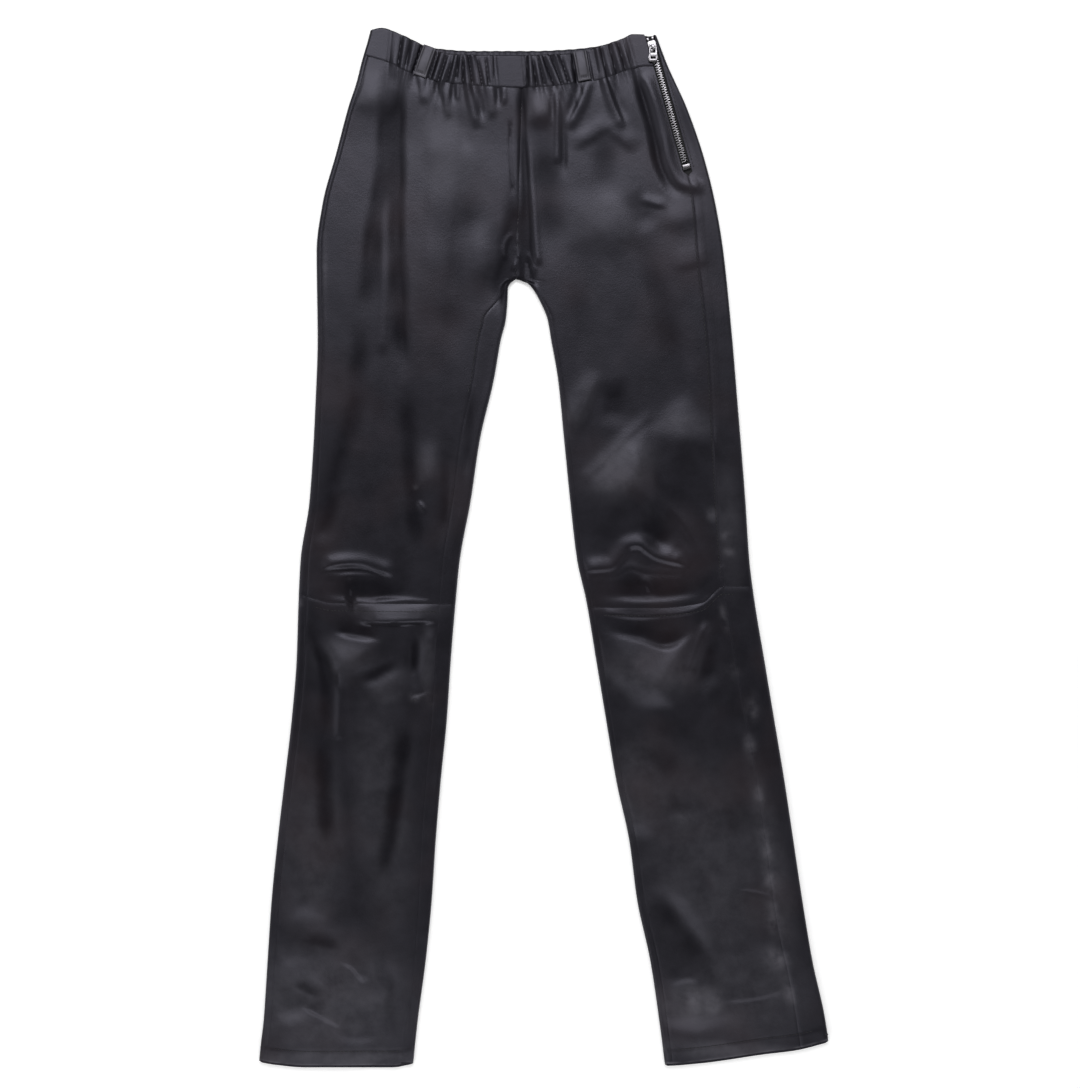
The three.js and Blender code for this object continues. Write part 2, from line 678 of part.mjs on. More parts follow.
function waistband() {
  const last = Object.values(bandColumns).reduce((a, b) => a + b);
  const columns = Array.from({ length: last + 1 }, (_, i) => i);
  const backFrom = bandColumns.front + bandColumns.arc;
  const backTo = backFrom + bandColumns.back;
  const share = (column) => ease((column - bandColumns.front) / bandColumns.arc);
  const onBack = (column) => {
    if (column < backTo) return share(column);
    return 1 - ease((column - backTo) / bandColumns.end);
  };
  const { flap, outerArc, under, lowerArc } = backParts;
  const underFrom = flap + outerArc;
  const underneath = (side) => {
    const row = panelGrid(side, "thigh", "back")[0].slice(underFrom, underFrom + under + lowerArc + 1);
    return side < 0 ? row : row.reverse();
  };
  const panelRow = [...underneath(-1), ...underneath(1)];
  const seamAt = (x, column) => {
    const next = panelRow.findIndex(([px]) => px > x);
    if (column < backFrom || column > backTo || next < 1) return bandSeam.at("y", x);
    const [[ax, ay], [bx, by]] = [panelRow[next - 1], panelRow[next]];
    return mix(ay, by, (x - ax) / (bx - ax)) + seamGap;
  };
  const topAt = (x, column) => mix(frontTop.at("y", x), backTop.at("y", x), onBack(column));
  const outer = evenly(2).map((v) =>
    columns.map((column) => {
      const top = settle(500, (y) => topAt(bandPoint(y, column)[0], column));
      const bottom = settle(470, (y) => seamAt(bandPoint(y, column)[0], column));
      return bandPoint(mix(top, bottom, v), column);
    }),
  );
  const swell = ([x, y, z], j, column, part) => {
    if (column <= bandColumns.front) return [x, y, z + part * gatherAt(x)];
    const step = column - backFrom;
    const wave = step > 0 && step < bandColumns.back && step % 2 ? backGatherHeight : 0;
    return [x, y, z + (1 - part) * wave];
  };
  return wallMesh("waistband", outer, () => bandLeather, 1, swell);
}

// A bar with the same closed section at each station along it.
function barMesh(name, stations, material) {
  const corners = [];
  const rings = stations.map(({ origin, across, section }) =>
    section.map(([w, h]) => [origin[0] + across[0] * w, origin[1] + across[1] * w, origin[2] + h]),
  );
  const quad = (a, b, c, d) => corners.push(a, b, c, a, c, d);
  rings.slice(1).forEach((ring, k) =>
    ring.forEach((point, i) => {
      const next = (i + 1) % ring.length;
      quad(rings[k][i], rings[k][next], ring[next], point);
    }),
  );
  const cap = (ring, turned) => {
    for (let i = 1; i < ring.length - 1; i++)
      corners.push(ring[0], ring[turned ? i + 1 : i], ring[turned ? i : i + 1]);
  };
  cap(rings[0], true);
  cap(rings[rings.length - 1], false);
  return meshOf(name, corners, material);
}

const box = (left, right, low, high) => [
  [left, low],
  [right, low],
  [right, high],
  [left, high],
];

const onZip = (s, w) => [
  zipTop[0] + zipDown[0] * s + zipAcross[0] * w,
  zipTop[1] + zipDown[1] * s + zipAcross[1] * w,
];
const tapeTop = (s) => {
  const [underBand, underPanels] = [bandHigh - bandLeather - seamGap, faceHeight - leather - seamGap];
  return mix(underBand, underPanels, ease((s - tapeSink.from) / tapeSink.over));
};

function zipTape() {
  const rightSide = (s) => mix(tapeTopSide, tapeSide, ease((s - tapeFull.from) / tapeFull.over));
  const stations = tapeStations.map((s) => ({
    origin: [...onZip(s, 0), tapeTop(s) - tapeThickness],
    across: zipAcross,
    section: box(-tapeSide, rightSide(s), 0, tapeThickness),
  }));
  return barMesh("zip_tape", stations, materials.tape);
}

const stopTo = zipLength - 1.3;
const stopFrom = stopTo - bottomStopLength;

function zipChain() {
  const half = chainWidth / 2;
  const shoulder = 0.5;
  const from = sliderTo + 0.4;
  const stations = evenly(12).map((t) => {
    const s = mix(from, stopFrom - seamGap, t);
    return {
      origin: [...onZip(s, 0), tapeTop(s) + seamGap],
      across: zipAcross,
      section: [
        [-half, 0],
        [half, 0],
        [half, chainHeight - shoulder],
        [half - shoulder, chainHeight],
        [shoulder - half, chainHeight],
        [-half, chainHeight - shoulder],
      ],
    };
  });
  return barMesh("zip_chain", stations, materials.nickel);
}

function zipStops() {
  const stop = (name, from, to, left, right, height) =>
    barMesh(
      name,
      [from, to].map((s) => ({
        origin: [...onZip(s, 0), tapeTop(s) + seamGap],
        across: zipAcross,
        section: box(left, right, 0, height),
      })),
      materials.nickel,
    );
  return [
    stop("zip_top_stop_right", 1.2, 4.4, -3.6, -1.4, 1.8),
    stop("zip_top_stop_left", 1.2, 4.4, 1.4, 3.6, 1.8),
    stop("zip_bottom_stop", stopFrom, stopTo, -3.9, 3.9, 2.6),
  ];
}

// Turns a geometry from the zip's own axes (X across, Y up the zip) into the garment's frame.
function placeOnZip(geometry, s, height) {
  const up = [-zipDown[0], -zipDown[1]];
  const frame = new THREE.Matrix4().set(
    zipAcross[0], up[0], 0, onZip(s, 0)[0],
    zipAcross[1], up[1], 0, onZip(s, 0)[1],
    0, 0, 1, height,
    0, 0, 0, 1,
  );
  return geometry.applyMatrix4(frame);
}

function solidOf(geometry) {
  const plain = geometry.index ? geometry.toNonIndexed() : geometry;
  const points = plain.getAttribute("position").array;
  const corners = [];
  for (let i = 0; i < points.length; i += 3) corners.push([...points.slice(i, i + 3)]);
  const joined = meshOf("solid", corners, materials.nickel).geometry;
  return new wasm.Manifold(
    new wasm.Mesh({
      numProp: 3,
      vertProperties: joined.getAttribute("position").array,
      triVerts: new Uint32Array(joined.index.array),
    }),
  );
}

function meshFromSolid(name, solid, material) {
  const made = solid.getMesh();
  const geometry = new THREE.BufferGeometry();
  geometry.setAttribute("position", new THREE.BufferAttribute(made.vertProperties, 3));
  geometry.setIndex(new THREE.BufferAttribute(made.triVerts, 1));
  const mesh = new THREE.Mesh(geometry, material);
  mesh.name = name;
  return mesh;
}

const sliderLow = tapeTop(pivotAt) + seamGap;
const sliderHigh = sliderLow + sliderHeight;
const pivotHeight = sliderHigh + pivotLift;

// Slider: a body wide where the rows part, narrow where they close, with a bridge over the pivot.
function zipSlider() {
  const [up, down] = [pivotAt - sliderFrom, sliderTo - pivotAt];
  const outline = new THREE.Shape();
  outline.moveTo(-2.6, up);
  outline.lineTo(2.6, up);
  outline.quadraticCurveTo(4.3, up - 0.6, 4.3, up - 3);
  outline.lineTo(4.0, up - 7);
  outline.quadraticCurveTo(3.5, -down, 2.6, -down);
  outline.lineTo(-2.6, -down);
  outline.quadraticCurveTo(-3.5, -down, -4.0, up - 7);
  outline.lineTo(-4.3, up - 3);
  outline.quadraticCurveTo(-4.3, up - 0.6, -2.6, up);
  const coarse = { bevelEnabled: false, curveSegments: 4 };
  const body = new THREE.ExtrudeGeometry(outline, { depth: sliderHeight, ...coarse });
  const span = 3.2;
  const head = pivotLift + 1.15;
  const arch = new THREE.Shape();
  arch.moveTo(-span, -0.4);
  arch.lineTo(-span, head);
  arch.quadraticCurveTo(-span, head + bridgeWall, -span + 1.2, head + bridgeWall);
  arch.lineTo(span - 1.2, head + bridgeWall);
  arch.quadraticCurveTo(span, head + bridgeWall, span, head);
  arch.lineTo(span, -0.4);
  arch.lineTo(span - bridgeWall, -0.4);
  arch.lineTo(span - bridgeWall, head);
  arch.lineTo(bridgeWall - span, head);
  arch.lineTo(bridgeWall - span, -0.4);
  const bridge = new THREE.ExtrudeGeometry(arch, { depth: bridgeWidth, ...coarse });
  bridge.translate(0, 0, -bridgeWidth / 2);
  bridge.rotateX(Math.PI / 2);
  bridge.rotateZ(Math.PI / 2);
  bridge.translate(0, 0, sliderHeight);
  const joined = solidOf(body).add(solidOf(bridge));
  const mesh = meshFromSolid("zip_slider", joined, materials.nickel);
  placeOnZip(mesh.geometry, pivotAt, sliderLow);
  return mesh;
}

// Pull tab: a flat plate hung on its top bar, with a window round the bridge and a slot below.
function zipPull() {
  const plate = new THREE.Shape();
  plate.moveTo(-4.0, 0.65);
  plate.lineTo(4.0, 0.65);
  plate.lineTo(3.8, -6.5);
  plate.lineTo(4.9, -9.5);
  plate.lineTo(4.2, -pullLength + 0.8);
  plate.lineTo(3.2, -pullLength);
  plate.lineTo(-3.2, -pullLength);
  plate.lineTo(-4.2, -pullLength + 0.8);
  plate.lineTo(-4.9, -9.5);
  plate.lineTo(-3.8, -6.5);
  const geometry = new THREE.ExtrudeGeometry(plate, { depth: pullThickness, bevelEnabled: false });
  const cut = ([width, low, high]) => {
    const block = new THREE.BoxGeometry(width, high - low, 3 * pullThickness);
    return solidOf(block.translate(0, (low + high) / 2, pullThickness / 2));
  };
  const pull = solidOf(geometry).subtract(cut(pullWindow)).subtract(cut(pullSlot));
  const mesh = meshFromSolid("zip_pull", pull, materials.nickel);
  mesh.geometry.rotateZ(pullTurn);
  placeOnZip(mesh.geometry, pivotAt, pivotHeight - pullThickness / 2);
  return mesh;
}

// Front belt loops bow up a little between their two ends; the back ones lie pressed flat.
function frontLoop(loop) {
  const length = Math.hypot(loop.endX - loop.topX, loop.endY - loop.topY);
  const down = [(loop.endX - loop.topX) / length, (loop.endY - loop.topY) / length];
  const half = loopWidth / 2;
  const [bevelAcross, bevelDown] = loopEdge;
  const stations = evenly(8).map((t) => ({
    origin: [
      mix(loop.topX, loop.endX, t),
      mix(loop.topY, loop.endY, t),
      bandHigh + seamGap + loopBow * Math.sin(Math.PI * t),
    ],
    across: [-down[1], down[0]],
    section: [
      [-half, 0],
      [half, 0],
      [half, loopThickness - bevelDown],
      [half - bevelAcross, loopThickness],
      [bevelAcross - half, loopThickness],
      [-half, loopThickness - bevelDown],
    ],
  }));
  return barMesh(`belt_loop_front_${loop.side < 0 ? "right" : "left"}`, stations, materials.leather);
}

function backLoop(loop) {
  const half = loopWidth / 2;
  const thickness = bandLow - seamGap;
  const stations = [loop.topY, loop.endY].map((y) => ({
    origin: [loop.x, y, 0],
    across: [1, 0],
    section: box(-half, half, 0, thickness),
  }));
  return barMesh(`belt_loop_back_${loop.side < 0 ? "right" : "left"}`, stations, materials.leather);
}

const trousers = new THREE.Group();
for (const side of [-1, 1]) {
  trousers.add(...legPanels(side, "thigh"));
  trousers.add(...legPanels(side, "shin"));
}
trousers.add(waistband());
trousers.add(...frontLoops.rows.map(frontLoop), ...backLoops.rows.map(backLoop));
trousers.add(zipTape(), zipChain(), ...zipStops(), zipSlider(), zipPull());

export default trousers;
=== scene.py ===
import bmesh
import bpy
import numpy as np
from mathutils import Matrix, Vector


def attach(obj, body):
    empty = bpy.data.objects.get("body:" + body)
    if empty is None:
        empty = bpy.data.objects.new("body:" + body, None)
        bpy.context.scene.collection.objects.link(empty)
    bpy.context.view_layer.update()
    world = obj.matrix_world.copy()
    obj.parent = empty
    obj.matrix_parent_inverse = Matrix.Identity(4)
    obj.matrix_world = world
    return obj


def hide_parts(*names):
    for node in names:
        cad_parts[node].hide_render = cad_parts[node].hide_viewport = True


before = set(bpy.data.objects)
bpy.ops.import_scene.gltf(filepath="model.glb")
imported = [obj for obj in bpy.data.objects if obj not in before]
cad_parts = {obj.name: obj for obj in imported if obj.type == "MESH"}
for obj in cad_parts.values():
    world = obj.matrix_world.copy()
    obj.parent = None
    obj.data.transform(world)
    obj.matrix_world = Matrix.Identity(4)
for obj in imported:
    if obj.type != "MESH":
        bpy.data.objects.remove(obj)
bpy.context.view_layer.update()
scene = bpy.context.scene
mm = 0.001

# Leather trousers laid flat. Shapes are worked out in millimetres, X to the wearer's left, Y to the
# waist, Z up from the surface, and turned to metres when a mesh is made.


def table(names, rows):
    # named columns, sorted by the first
    values = np.array(sorted(rows), float)
    return dict(zip(names.split(), values.T))


def curve(rows, name, where):
    # cubic through the rows: each slope is the harmonic mean of its neighbours', flat at turning points
    x, y = next(iter(rows.values())), rows[name]
    gap = np.diff(x)
    slope = np.diff(y) / gap
    before, after = slope[:-1], slope[1:]
    turning = before * after <= 0
    middle = np.where(turning, 0.0, 2 * before * after / np.where(turning, 1.0, before + after))
    tangent = np.concatenate([slope[:1], middle, slope[-1:]])
    at = np.clip(where, x[0], x[-1])
    i = np.clip(np.searchsorted(x, at, side="right") - 1, 0, len(gap) - 1)
    t = (at - x[i]) / gap[i]
    a, b = y[i], y[i + 1]
    ta, tb = tangent[i] * gap[i], tangent[i + 1] * gap[i]
    return a + t * (ta + t * (3 * (b - a) - 2 * ta - tb + t * (2 * (a - b) + ta + tb)))


def mix(a, b, t):
    return a + (b - a) * t


def ease(t):
    c = np.clip(t, 0, 1)
    return c * c * (3 - 2 * c)


def bell(distance, halfWidth):
    return np.exp(-((distance / halfWidth) ** 2))


garment = {
    "leather": 1.2,  # wall of one layer
    "band": 2.4,  # the waistband, folded over its elastic
    "seamGap": 0.08,
    "solidGap": 0.3,  # the gap that the solids keep
    "faceHeight": 6.0,
    "bandLow": 1.5,
    "bandHigh": 8.1,
    "panelHigh": 7.8,
    "riseFrom": 400.0,
    "riseTo": 456.0,
    "crotchX": -27.5,
    "crotchY": 268.0,
    "hemLift": 4.0,
    "hemTurn": 15.0,
}
outerEdges = table("y outerRight outerLeft", [
    (518.5, -172.0, 109.5), (508.5, -174.5, 113.5), (484.5, -181.5, 122.5), (464.5, -186.5, 131.5),
    (440.5, -194.5, 142.5), (392.5, -207.5, 159.5), (344.5, -220.5, 171.5), (296.5, -226.5, 179.5),
    (208.5, -225.5, 188.5), (148.5, -227.5, 193.5), (48.5, -233.5, 201.5), (-11.5, -242.5, 205.5),
    (-51.5, -244.5, 210.5), (-111.5, -246.5, 220.5), (-171.5, -251.5, 230.5), (-231.5, -258.5, 240.5),
    (-291.5, -265.5, 249.5), (-351.5, -271.5, 258.5), (-411.5, -275.5, 268.5), (-471.5, -279.5, 281.5),
    (-496.5, -282.5, 284.5), (-518.5, -284.5, 284.0),
])
innerEdges = table("y innerRight innerLeft", [
    (268.0, -28.0, -27.0), (266.5, -31.3, -19.0), (260.0, -35.4, -11.5), (248.5, -35.8, -4.5),
    (228.5, -37.5, 4.0), (208.5, -42.5, 7.5), (168.5, -49.5, 14.5), (108.5, -63.5, 20.5),
    (48.5, -72.5, 26.5), (-11.5, -83.5, 33.5), (-51.5, -87.5, 42.5), (-111.5, -92.5, 52.5),
    (-171.5, -96.5, 62.5), (-231.5, -102.5, 72.5), (-291.5, -107.5, 85.5), (-351.5, -111.5, 93.5),
    (-411.5, -117.5, 106.5), (-471.5, -125.5, 115.5), (-518.5, -130.5, 121.5),
])
seamInsets = table("y outRight inRight inLeft", [
    (500.0, 6.0, 0.0, 0.0), (268.0, 6.0, 0.0, 0.0), (248.5, 6.0, 9.0, 3.6), (228.5, 6.0, 22.0, 5.0),
    (185.5, 6.0, 21.0, 5.0), (-58.5, 8.5, 16.0, 6.0), (-298.5, 8.0, 14.0, 7.0),
    (-444.5, 8.0, 11.0, 8.0), (-518.5, 8.0, 12.0, 8.0),
])
leftOutseam = table("y x", [
    (376.5, 143.5), (341.5, 150.5), (298.5, 154.0), (197.5, 165.0), (104.5, 170.0), (-26.5, 178.5),
    (-109.5, 190.5), (-200.5, 207.0), (-298.5, 222.0), (-366.0, 231.5), (-445.0, 248.0),
    (-518.5, 259.5),
])
frontTop = table("x y", [
    (-172.0, 516.0), (-161.5, 518.3), (-141.5, 511.5), (-121.5, 502.0), (-103.5, 494.5),
    (-83.5, 491.5), (-23.5, 491.0), (16.5, 492.0), (36.5, 494.5), (56.5, 500.0), (78.5, 507.5),
    (88.5, 512.0), (114.0, 511.0),
])
backTop = table("x y", [
    (-172.0, 516.0), (-161.5, 518.3), (-141.5, 511.5), (-121.5, 502.7), (-101.5, 498.5),
    (-71.5, 496.5), (-11.5, 496.5), (28.5, 498.3), (56.5, 501.7), (78.5, 507.5), (88.5, 512.0),
    (114.0, 511.0),
])
bandSeam = table("x y", [
    (-180.0, 491.5), (-151.5, 482.5), (-138.5, 475.5), (-103.5, 464.5), (-50.5, 459.5),
    (-21.5, 458.5), (56.5, 466.5), (83.5, 476.0), (102.5, 480.0), (125.0, 480.0),
])
kneeSeam = table("x y", [
    (-245.0, -45.0), (-208.5, -54.5), (-104.0, -55.5), (61.5, -59.0), (112.5, -59.5),
    (157.5, -54.5), (179.5, -38.0), (211.0, -38.0),
])
backHem = table("x y", [
    (-284.5, -513.0), (-269.5, -515.8), (-237.5, -518.5), (-149.5, -518.5), (-130.5, -515.5),
    (121.5, -517.0), (156.5, -514.5), (220.5, -505.5), (252.5, -501.5), (284.5, -493.5),
])

# Creases of the front: soft ridges, or troughs where the height is negative, along a line through points.
# Lean makes one side of it wider: above 0 the side on the left of the line, as it runs. Sharp, up to 1,
# turns the round crest into an edge with straight flanks.
creases = [
    # halfWidth, height, lean, sharp, points
    # right thigh: two long gathers from the waistband to the knee, and short ones beside the inseam
    (9.0, -2.6, 0.25, 0.6, [(-156, 484), (-157, 430), (-159, 380), (-165, 340), (-171, 310), (-176, 256), (-181, 214)]),
    (9.0, -1.7, 0.20, 0.5, [(-179, 246), (-185, 180), (-190, 130), (-204, 84), (-216, 44), (-228, 0)]),
    (8.0, -2.7, -0.20, 0.7, [(-142, 484), (-146, 420), (-146, 370), (-147, 314), (-143, 250), (-141, 200), (-139, 160)]),
    (9.0, -2.2, 0.10, 0.5, [(-137, 176), (-134, 110), (-131, 54), (-126, 0), (-124, -34)]),
    (5.0, 0.8, 0.00, 0.0, [(-150, 470), (-153, 400), (-157, 330), (-158, 260), (-162, 190)]),
    (4.4, -1.3, 0.00, 0.5, [(-71, 160), (-73, 110), (-76, 66)]),
    (6.0, -1.7, -0.20, 0.5, [(-97, 104), (-98, 50), (-100, -6)]),
    (2.6, 1.2, 0.00, 0.3, [(-127, 48), (-122, 42), (-118, 34)]),
    (7.0, -1.6, 0.20, 0.4, [(-206, 60), (-214, 30), (-226, 2)]),
    (14.0, 1.6, 0.00, 0.0, [(-64, 330), (-60, 290), (-72, 244)]),
    (16.0, 1.6, 0.30, 0.0, [(-110, 440), (-104, 380), (-108, 300), (-112, 220)]),
    (12.0, -1.4, 0.20, 0.1, [(-70, 410), (-78, 340), (-86, 260), (-96, 170)]),
    # under the waistband, leaning away from the middle
    (3.0, -1.1, 0.00, 0.5, [(-109, 476), (-105, 456), (-104, 438)]),
    (3.6, 0.9, 0.20, 0.2, [(-102, 474), (-98, 452), (-94, 426)]),
    (2.8, -1.0, 0.00, 0.5, [(-93, 472), (-90, 454), (-89, 440)]),
    (2.2, 0.7, 0.00, 0.2, [(-87, 470), (-86, 456), (-86, 444)]),
    (4.4, 1.4, 0.30, 0.2, [(-80, 472), (-73, 450), (-66, 416)]),
    (3.4, -1.4, -0.20, 0.5, [(-68, 468), (-63, 446), (-61, 420)]),
    (6.0, -0.7, 0.00, 0.1, [(-84, 440), (-78, 416), (-74, 386)]),
    (3.4, 0.8, 0.00, 0.2, [(-55, 466), (-51, 446), (-51, 426)]),
    (2.8, -0.9, 0.00, 0.5, [(-46, 466), (-45, 452), (-47, 436)]),
    (2.6, 1.0, 0.00, 0.2, [(-40, 464), (-39, 452), (-40, 440)]),
    (2.8, -0.7, 0.00, 0.5, [(-130, 480), (-127, 464), (-126, 452)]),
    (3.4, 1.0, 0.00, 0.1, [(-123, 476), (-120, 458), (-119, 440)]),
    # right knee: a thin wave over the bag, the pressed pleat under the seam, and the facets below
    (5.4, 2.6, 0.45, 0.3, [(-226, -19.5), (-206, -15), (-184, -14.5), (-168, -19), (-145, -26)]),
    (4.4, -1.6, 0.20, 0.3, [(-216, -25), (-193, -21.5), (-171, -22.5), (-156, -28)]),
    (3.0, 0.4, 0.00, 0.2, [(-222, -28), (-200, -26.5), (-178, -27), (-160, -30)]),
    (11.0, -2.8, 0.55, 0.4, [(-226, -40), (-188, -44), (-150, -43), (-120, -40)]),
    (3.8, -3.0, 0.00, 0.9, [(-194, -26), (-193, -46), (-190, -72)]),
    (8.0, 5.6, 0.80, 0.8, [(-189, -71), (-164, -72), (-140, -71.5), (-103, -70)]),
    (1.6, 0.5, 0.00, 0.3, [(-168, -52.5), (-140, -51.5), (-112, -53)]),
    (8.0, -2.8, 0.50, 0.5, [(-214, -78), (-186, -84), (-156, -88)]),
    (3.4, 1.3, 0.00, 0.2, [(-203, -112), (-203, -150), (-204, -194)]),
    (8.0, -3.0, 0.20, 0.8, [(-238, -62), (-228, -92), (-219, -118), (-217, -160), (-219, -196)]),
    (8.0, -2.8, 0.00, 0.6, [(-138, -110), (-160, -122), (-188, -136)]),
    (11.0, 1.7, -0.20, 0.1, [(-130, -118), (-150, -138), (-176, -162)]),
    (5.0, -2.8, 0.00, 0.8, [(-129, -76), (-128, -108), (-131, -136)]),
    (5.5, 1.6, 0.00, 0.1, [(-112, -76), (-114, -110), (-119, -144)]),
    (5.0, 1.5, 0.40, 0.3, [(-138, -147), (-124, -143), (-110, -138)]),
    # right shin
    (10.0, -3.0, 0.10, 0.8, [(-222, -156), (-220, -200), (-219, -240), (-216, -290), (-212, -324)]),
    (10.0, -3.0, -0.10, 0.8, [(-127, -148), (-136, -180), (-142, -214), (-148, -256), (-156, -304), (-172, -350)]),
    (14.0, 2.0, 0.00, 0.0, [(-180, -180), (-182, -240), (-186, -300)]),
    (9.0, -1.8, 0.30, 0.2, [(-250, -382), (-222, -392), (-190, -396)]),
    (4.2, 1.5, 0.60, 0.4, [(-204, -410), (-190, -416), (-176, -434)]),
    (8.0, -1.8, 0.40, 0.3, [(-258, -428), (-232, -440), (-208, -450)]),
    (4.6, 1.8, 0.60, 0.4, [(-242, -453), (-222, -464), (-200, -476)]),
    (6.0, -1.4, 0.00, 0.2, [(-156, -410), (-152, -440), (-160, -466)]),
    (10.0, 1.0, 0.40, 0.1, [(-216, -472), (-190, -484), (-160, -480)]),
    # front seam and crotch
    (6.0, -2.8, 0.10, 0.8, [(-21, 478), (-19, 430), (-18, 380), (-16, 340), (-15, 286), (-14, 240)]),
    (3.4, 1.6, 0.10, 0.2, [(-15, 470), (-16, 430), (-14, 390), (-11, 345), (-8, 300), (-5, 280)]),
    (13.0, -2.2, 0.20, 0.2, [(-1, 444), (1, 384), (5, 340), (12, 270)]),
    (1.4, -0.8, 0.00, 0.5, [(-33, 428), (-33, 390), (-30, 350)]),
    (8.0, -2.8, 0.00, 0.6, [(-27, 372), (-30, 322), (-37, 276), (-46, 226)]),
    (2.2, 1.3, 0.00, 0.2, [(-29, 316), (-36, 308), (-39, 298), (-38, 286)]),
    (2.0, 1.3, 0.00, 0.2, [(-28, 304), (-26, 290), (-31, 276)]),
    (7.0, -2.8, 0.00, 0.6, [(-22, 344), (-21, 300), (-18, 262), (-12, 220)]),
    (2.2, 1.4, 0.00, 0.2, [(-17, 298), (-13, 286), (-8, 274)]),
    (12.0, -1.6, 0.00, 0.1, [(-40, 330), (-44, 284), (-52, 230)]),
    # left hip, under the waistband
    (2.8, -1.2, 0.00, 0.6, [(7, 466), (9, 444), (8, 422)]),
    (3.2, -1.3, 0.00, 0.6, [(18, 440), (20, 404), (20, 366)]),
    (3.0, 1.2, 0.00, 0.2, [(14, 462), (14, 420), (13, 382)]),
    (3.6, -1.1, 0.00, 0.5, [(36, 470), (30, 446), (23, 424)]),
    (4.0, 1.5, 0.20, 0.2, [(47, 472), (39, 446), (33, 434), (24, 416)]),
    (4.0, 1.5, -0.20, 0.2, [(59, 474), (67, 446), (75, 427), (80, 416)]),
    (3.8, -1.2, 0.00, 0.5, [(69, 470), (76, 444), (84, 424)]),
    (7.0, 1.1, -0.20, 0.1, [(74, 429), (60, 421), (48, 413), (24, 399)]),
    (7.0, 1.1, 0.20, 0.1, [(60, 423), (75, 413), (96, 396)]),
    (11.0, -1.5, 0.00, 0.2, [(60, 418), (62, 378), (64, 340)]),
    (9.0, -1.1, 0.00, 0.1, [(86, 356), (98, 330), (108, 314)]),
    (11.0, -1.5, 0.10, 0.1, [(92, 330), (106, 278), (116, 240), (130, 190), (138, 124)]),
    (4.0, 1.0, 0.30, 0.2, [(94, 349), (110, 344), (126, 341)]),
    (9.0, 0.9, 0.40, 0.1, [(126, 280), (148, 287), (170, 292)]),
    (9.0, -0.9, 0.20, 0.1, [(30, 270), (38, 226), (40, 180)]),
    # placket of the zip
    (5.0, -3.0, -0.10, 0.9, [(88, 484), (97, 458), (106, 428), (112, 404), (115, 388), (122, 370), (130, 358), (142, 352)]),
    (5.0, 1.5, 0.00, 0.1, [(99, 476), (112, 440), (120, 410), (126, 384), (136, 366), (150, 361), (164, 359)]),
    # left thigh: the edge of the bright facet, and the folds that run from it to the knee
    (5.0, 0.5, 0.20, 0.2, [(34, 64), (58, 87), (80, 110), (94, 123), (105, 131), (114, 126)]),
    (5.0, 0.6, 0.00, 0.2, [(84, 108), (90, 92), (97, 70)]),
    (7.0, 1.4, 0.20, 0.1, [(96, 62), (118, 42), (138, 22), (150, 0), (161, -20)]),
    (3.8, -1.4, 0.00, 0.5, [(120, 42), (138, 16), (152, -12)]),
    (11.0, -2.6, 0.20, 0.5, [(92, 34), (112, 14), (130, -2)]),
    (10.0, 2.2, 0.30, 0.1, [(22, 108), (38, 142), (54, 180)]),
    (12.0, -1.8, 0.20, 0.2, [(64, 170), (70, 146), (64, 118)]),
    # left knee: a wavy edge over the bag, the seam's fold, the facets below
    (6.0, 2.8, 0.45, 0.3, [(34, -20), (54, -19), (68, -17), (78, -6), (85, 3), (96, 4), (106, -3), (118, -9), (148, -16)]),
    (4.0, 0.8, 0.20, 0.2, [(38, -27), (70, -27), (86, -19), (104, -24), (142, -25)]),
    (10.0, -2.9, 0.50, 0.4, [(46, -44), (84, -44), (124, -44), (166, -38)]),
    (4.5, -2.6, 0.00, 0.8, [(98, -28), (103, -38), (108, -50)]),
    (2.6, 0.9, 0.30, 0.3, [(58, -64), (90, -68), (115, -67), (150, -62), (172, -46)]),
    (2.0, 1.0, 0.00, 0.3, [(178, -14), (178, -36)]),
    (9.0, -2.8, 0.50, 0.4, [(62, -78), (98, -86), (124, -93), (150, -76)]),
    (5.0, 2.0, 0.20, 0.3, [(164, -70), (154, -100), (142, -130)]),
    (9.0, -2.0, 0.00, 0.3, [(172, -80), (164, -110), (158, -146)]),
    # left shin
    (14.0, -1.7, 0.20, 0.2, [(92, -184), (112, -206), (140, -240)]),
    (12.0, -2.1, -0.20, 0.4, [(98, -328), (122, -358), (142, -385), (176, -428)]),
    (14.0, 2.2, 0.30, 0.0, [(128, -318), (150, -350), (174, -386)]),
    (6.0, 1.6, 0.20, 0.2, [(120, -436), (140, -426), (164, -428)]),
    (1.8, -0.6, 0.00, 0.4, [(190, -341), (210, -343), (230, -348)]),
    (10.0, 1.8, 0.20, 0.1, [(150, -168), (170, -150), (188, -126)]),
    (12.0, -1.0, 0.20, 0.1, [(194, -230), (188, -268), (198, -304)]),
    (10.0, 1.6, 0.30, 0.1, [(158, -296), (176, -330), (172, -366)]),
    (3.4, 0.7, 0.30, 0.2, [(180, -450), (214, -446), (242, -438)]),
    (12.0, -0.9, 0.20, 0.1, [(206, -392), (214, -424), (206, -462)]),
]

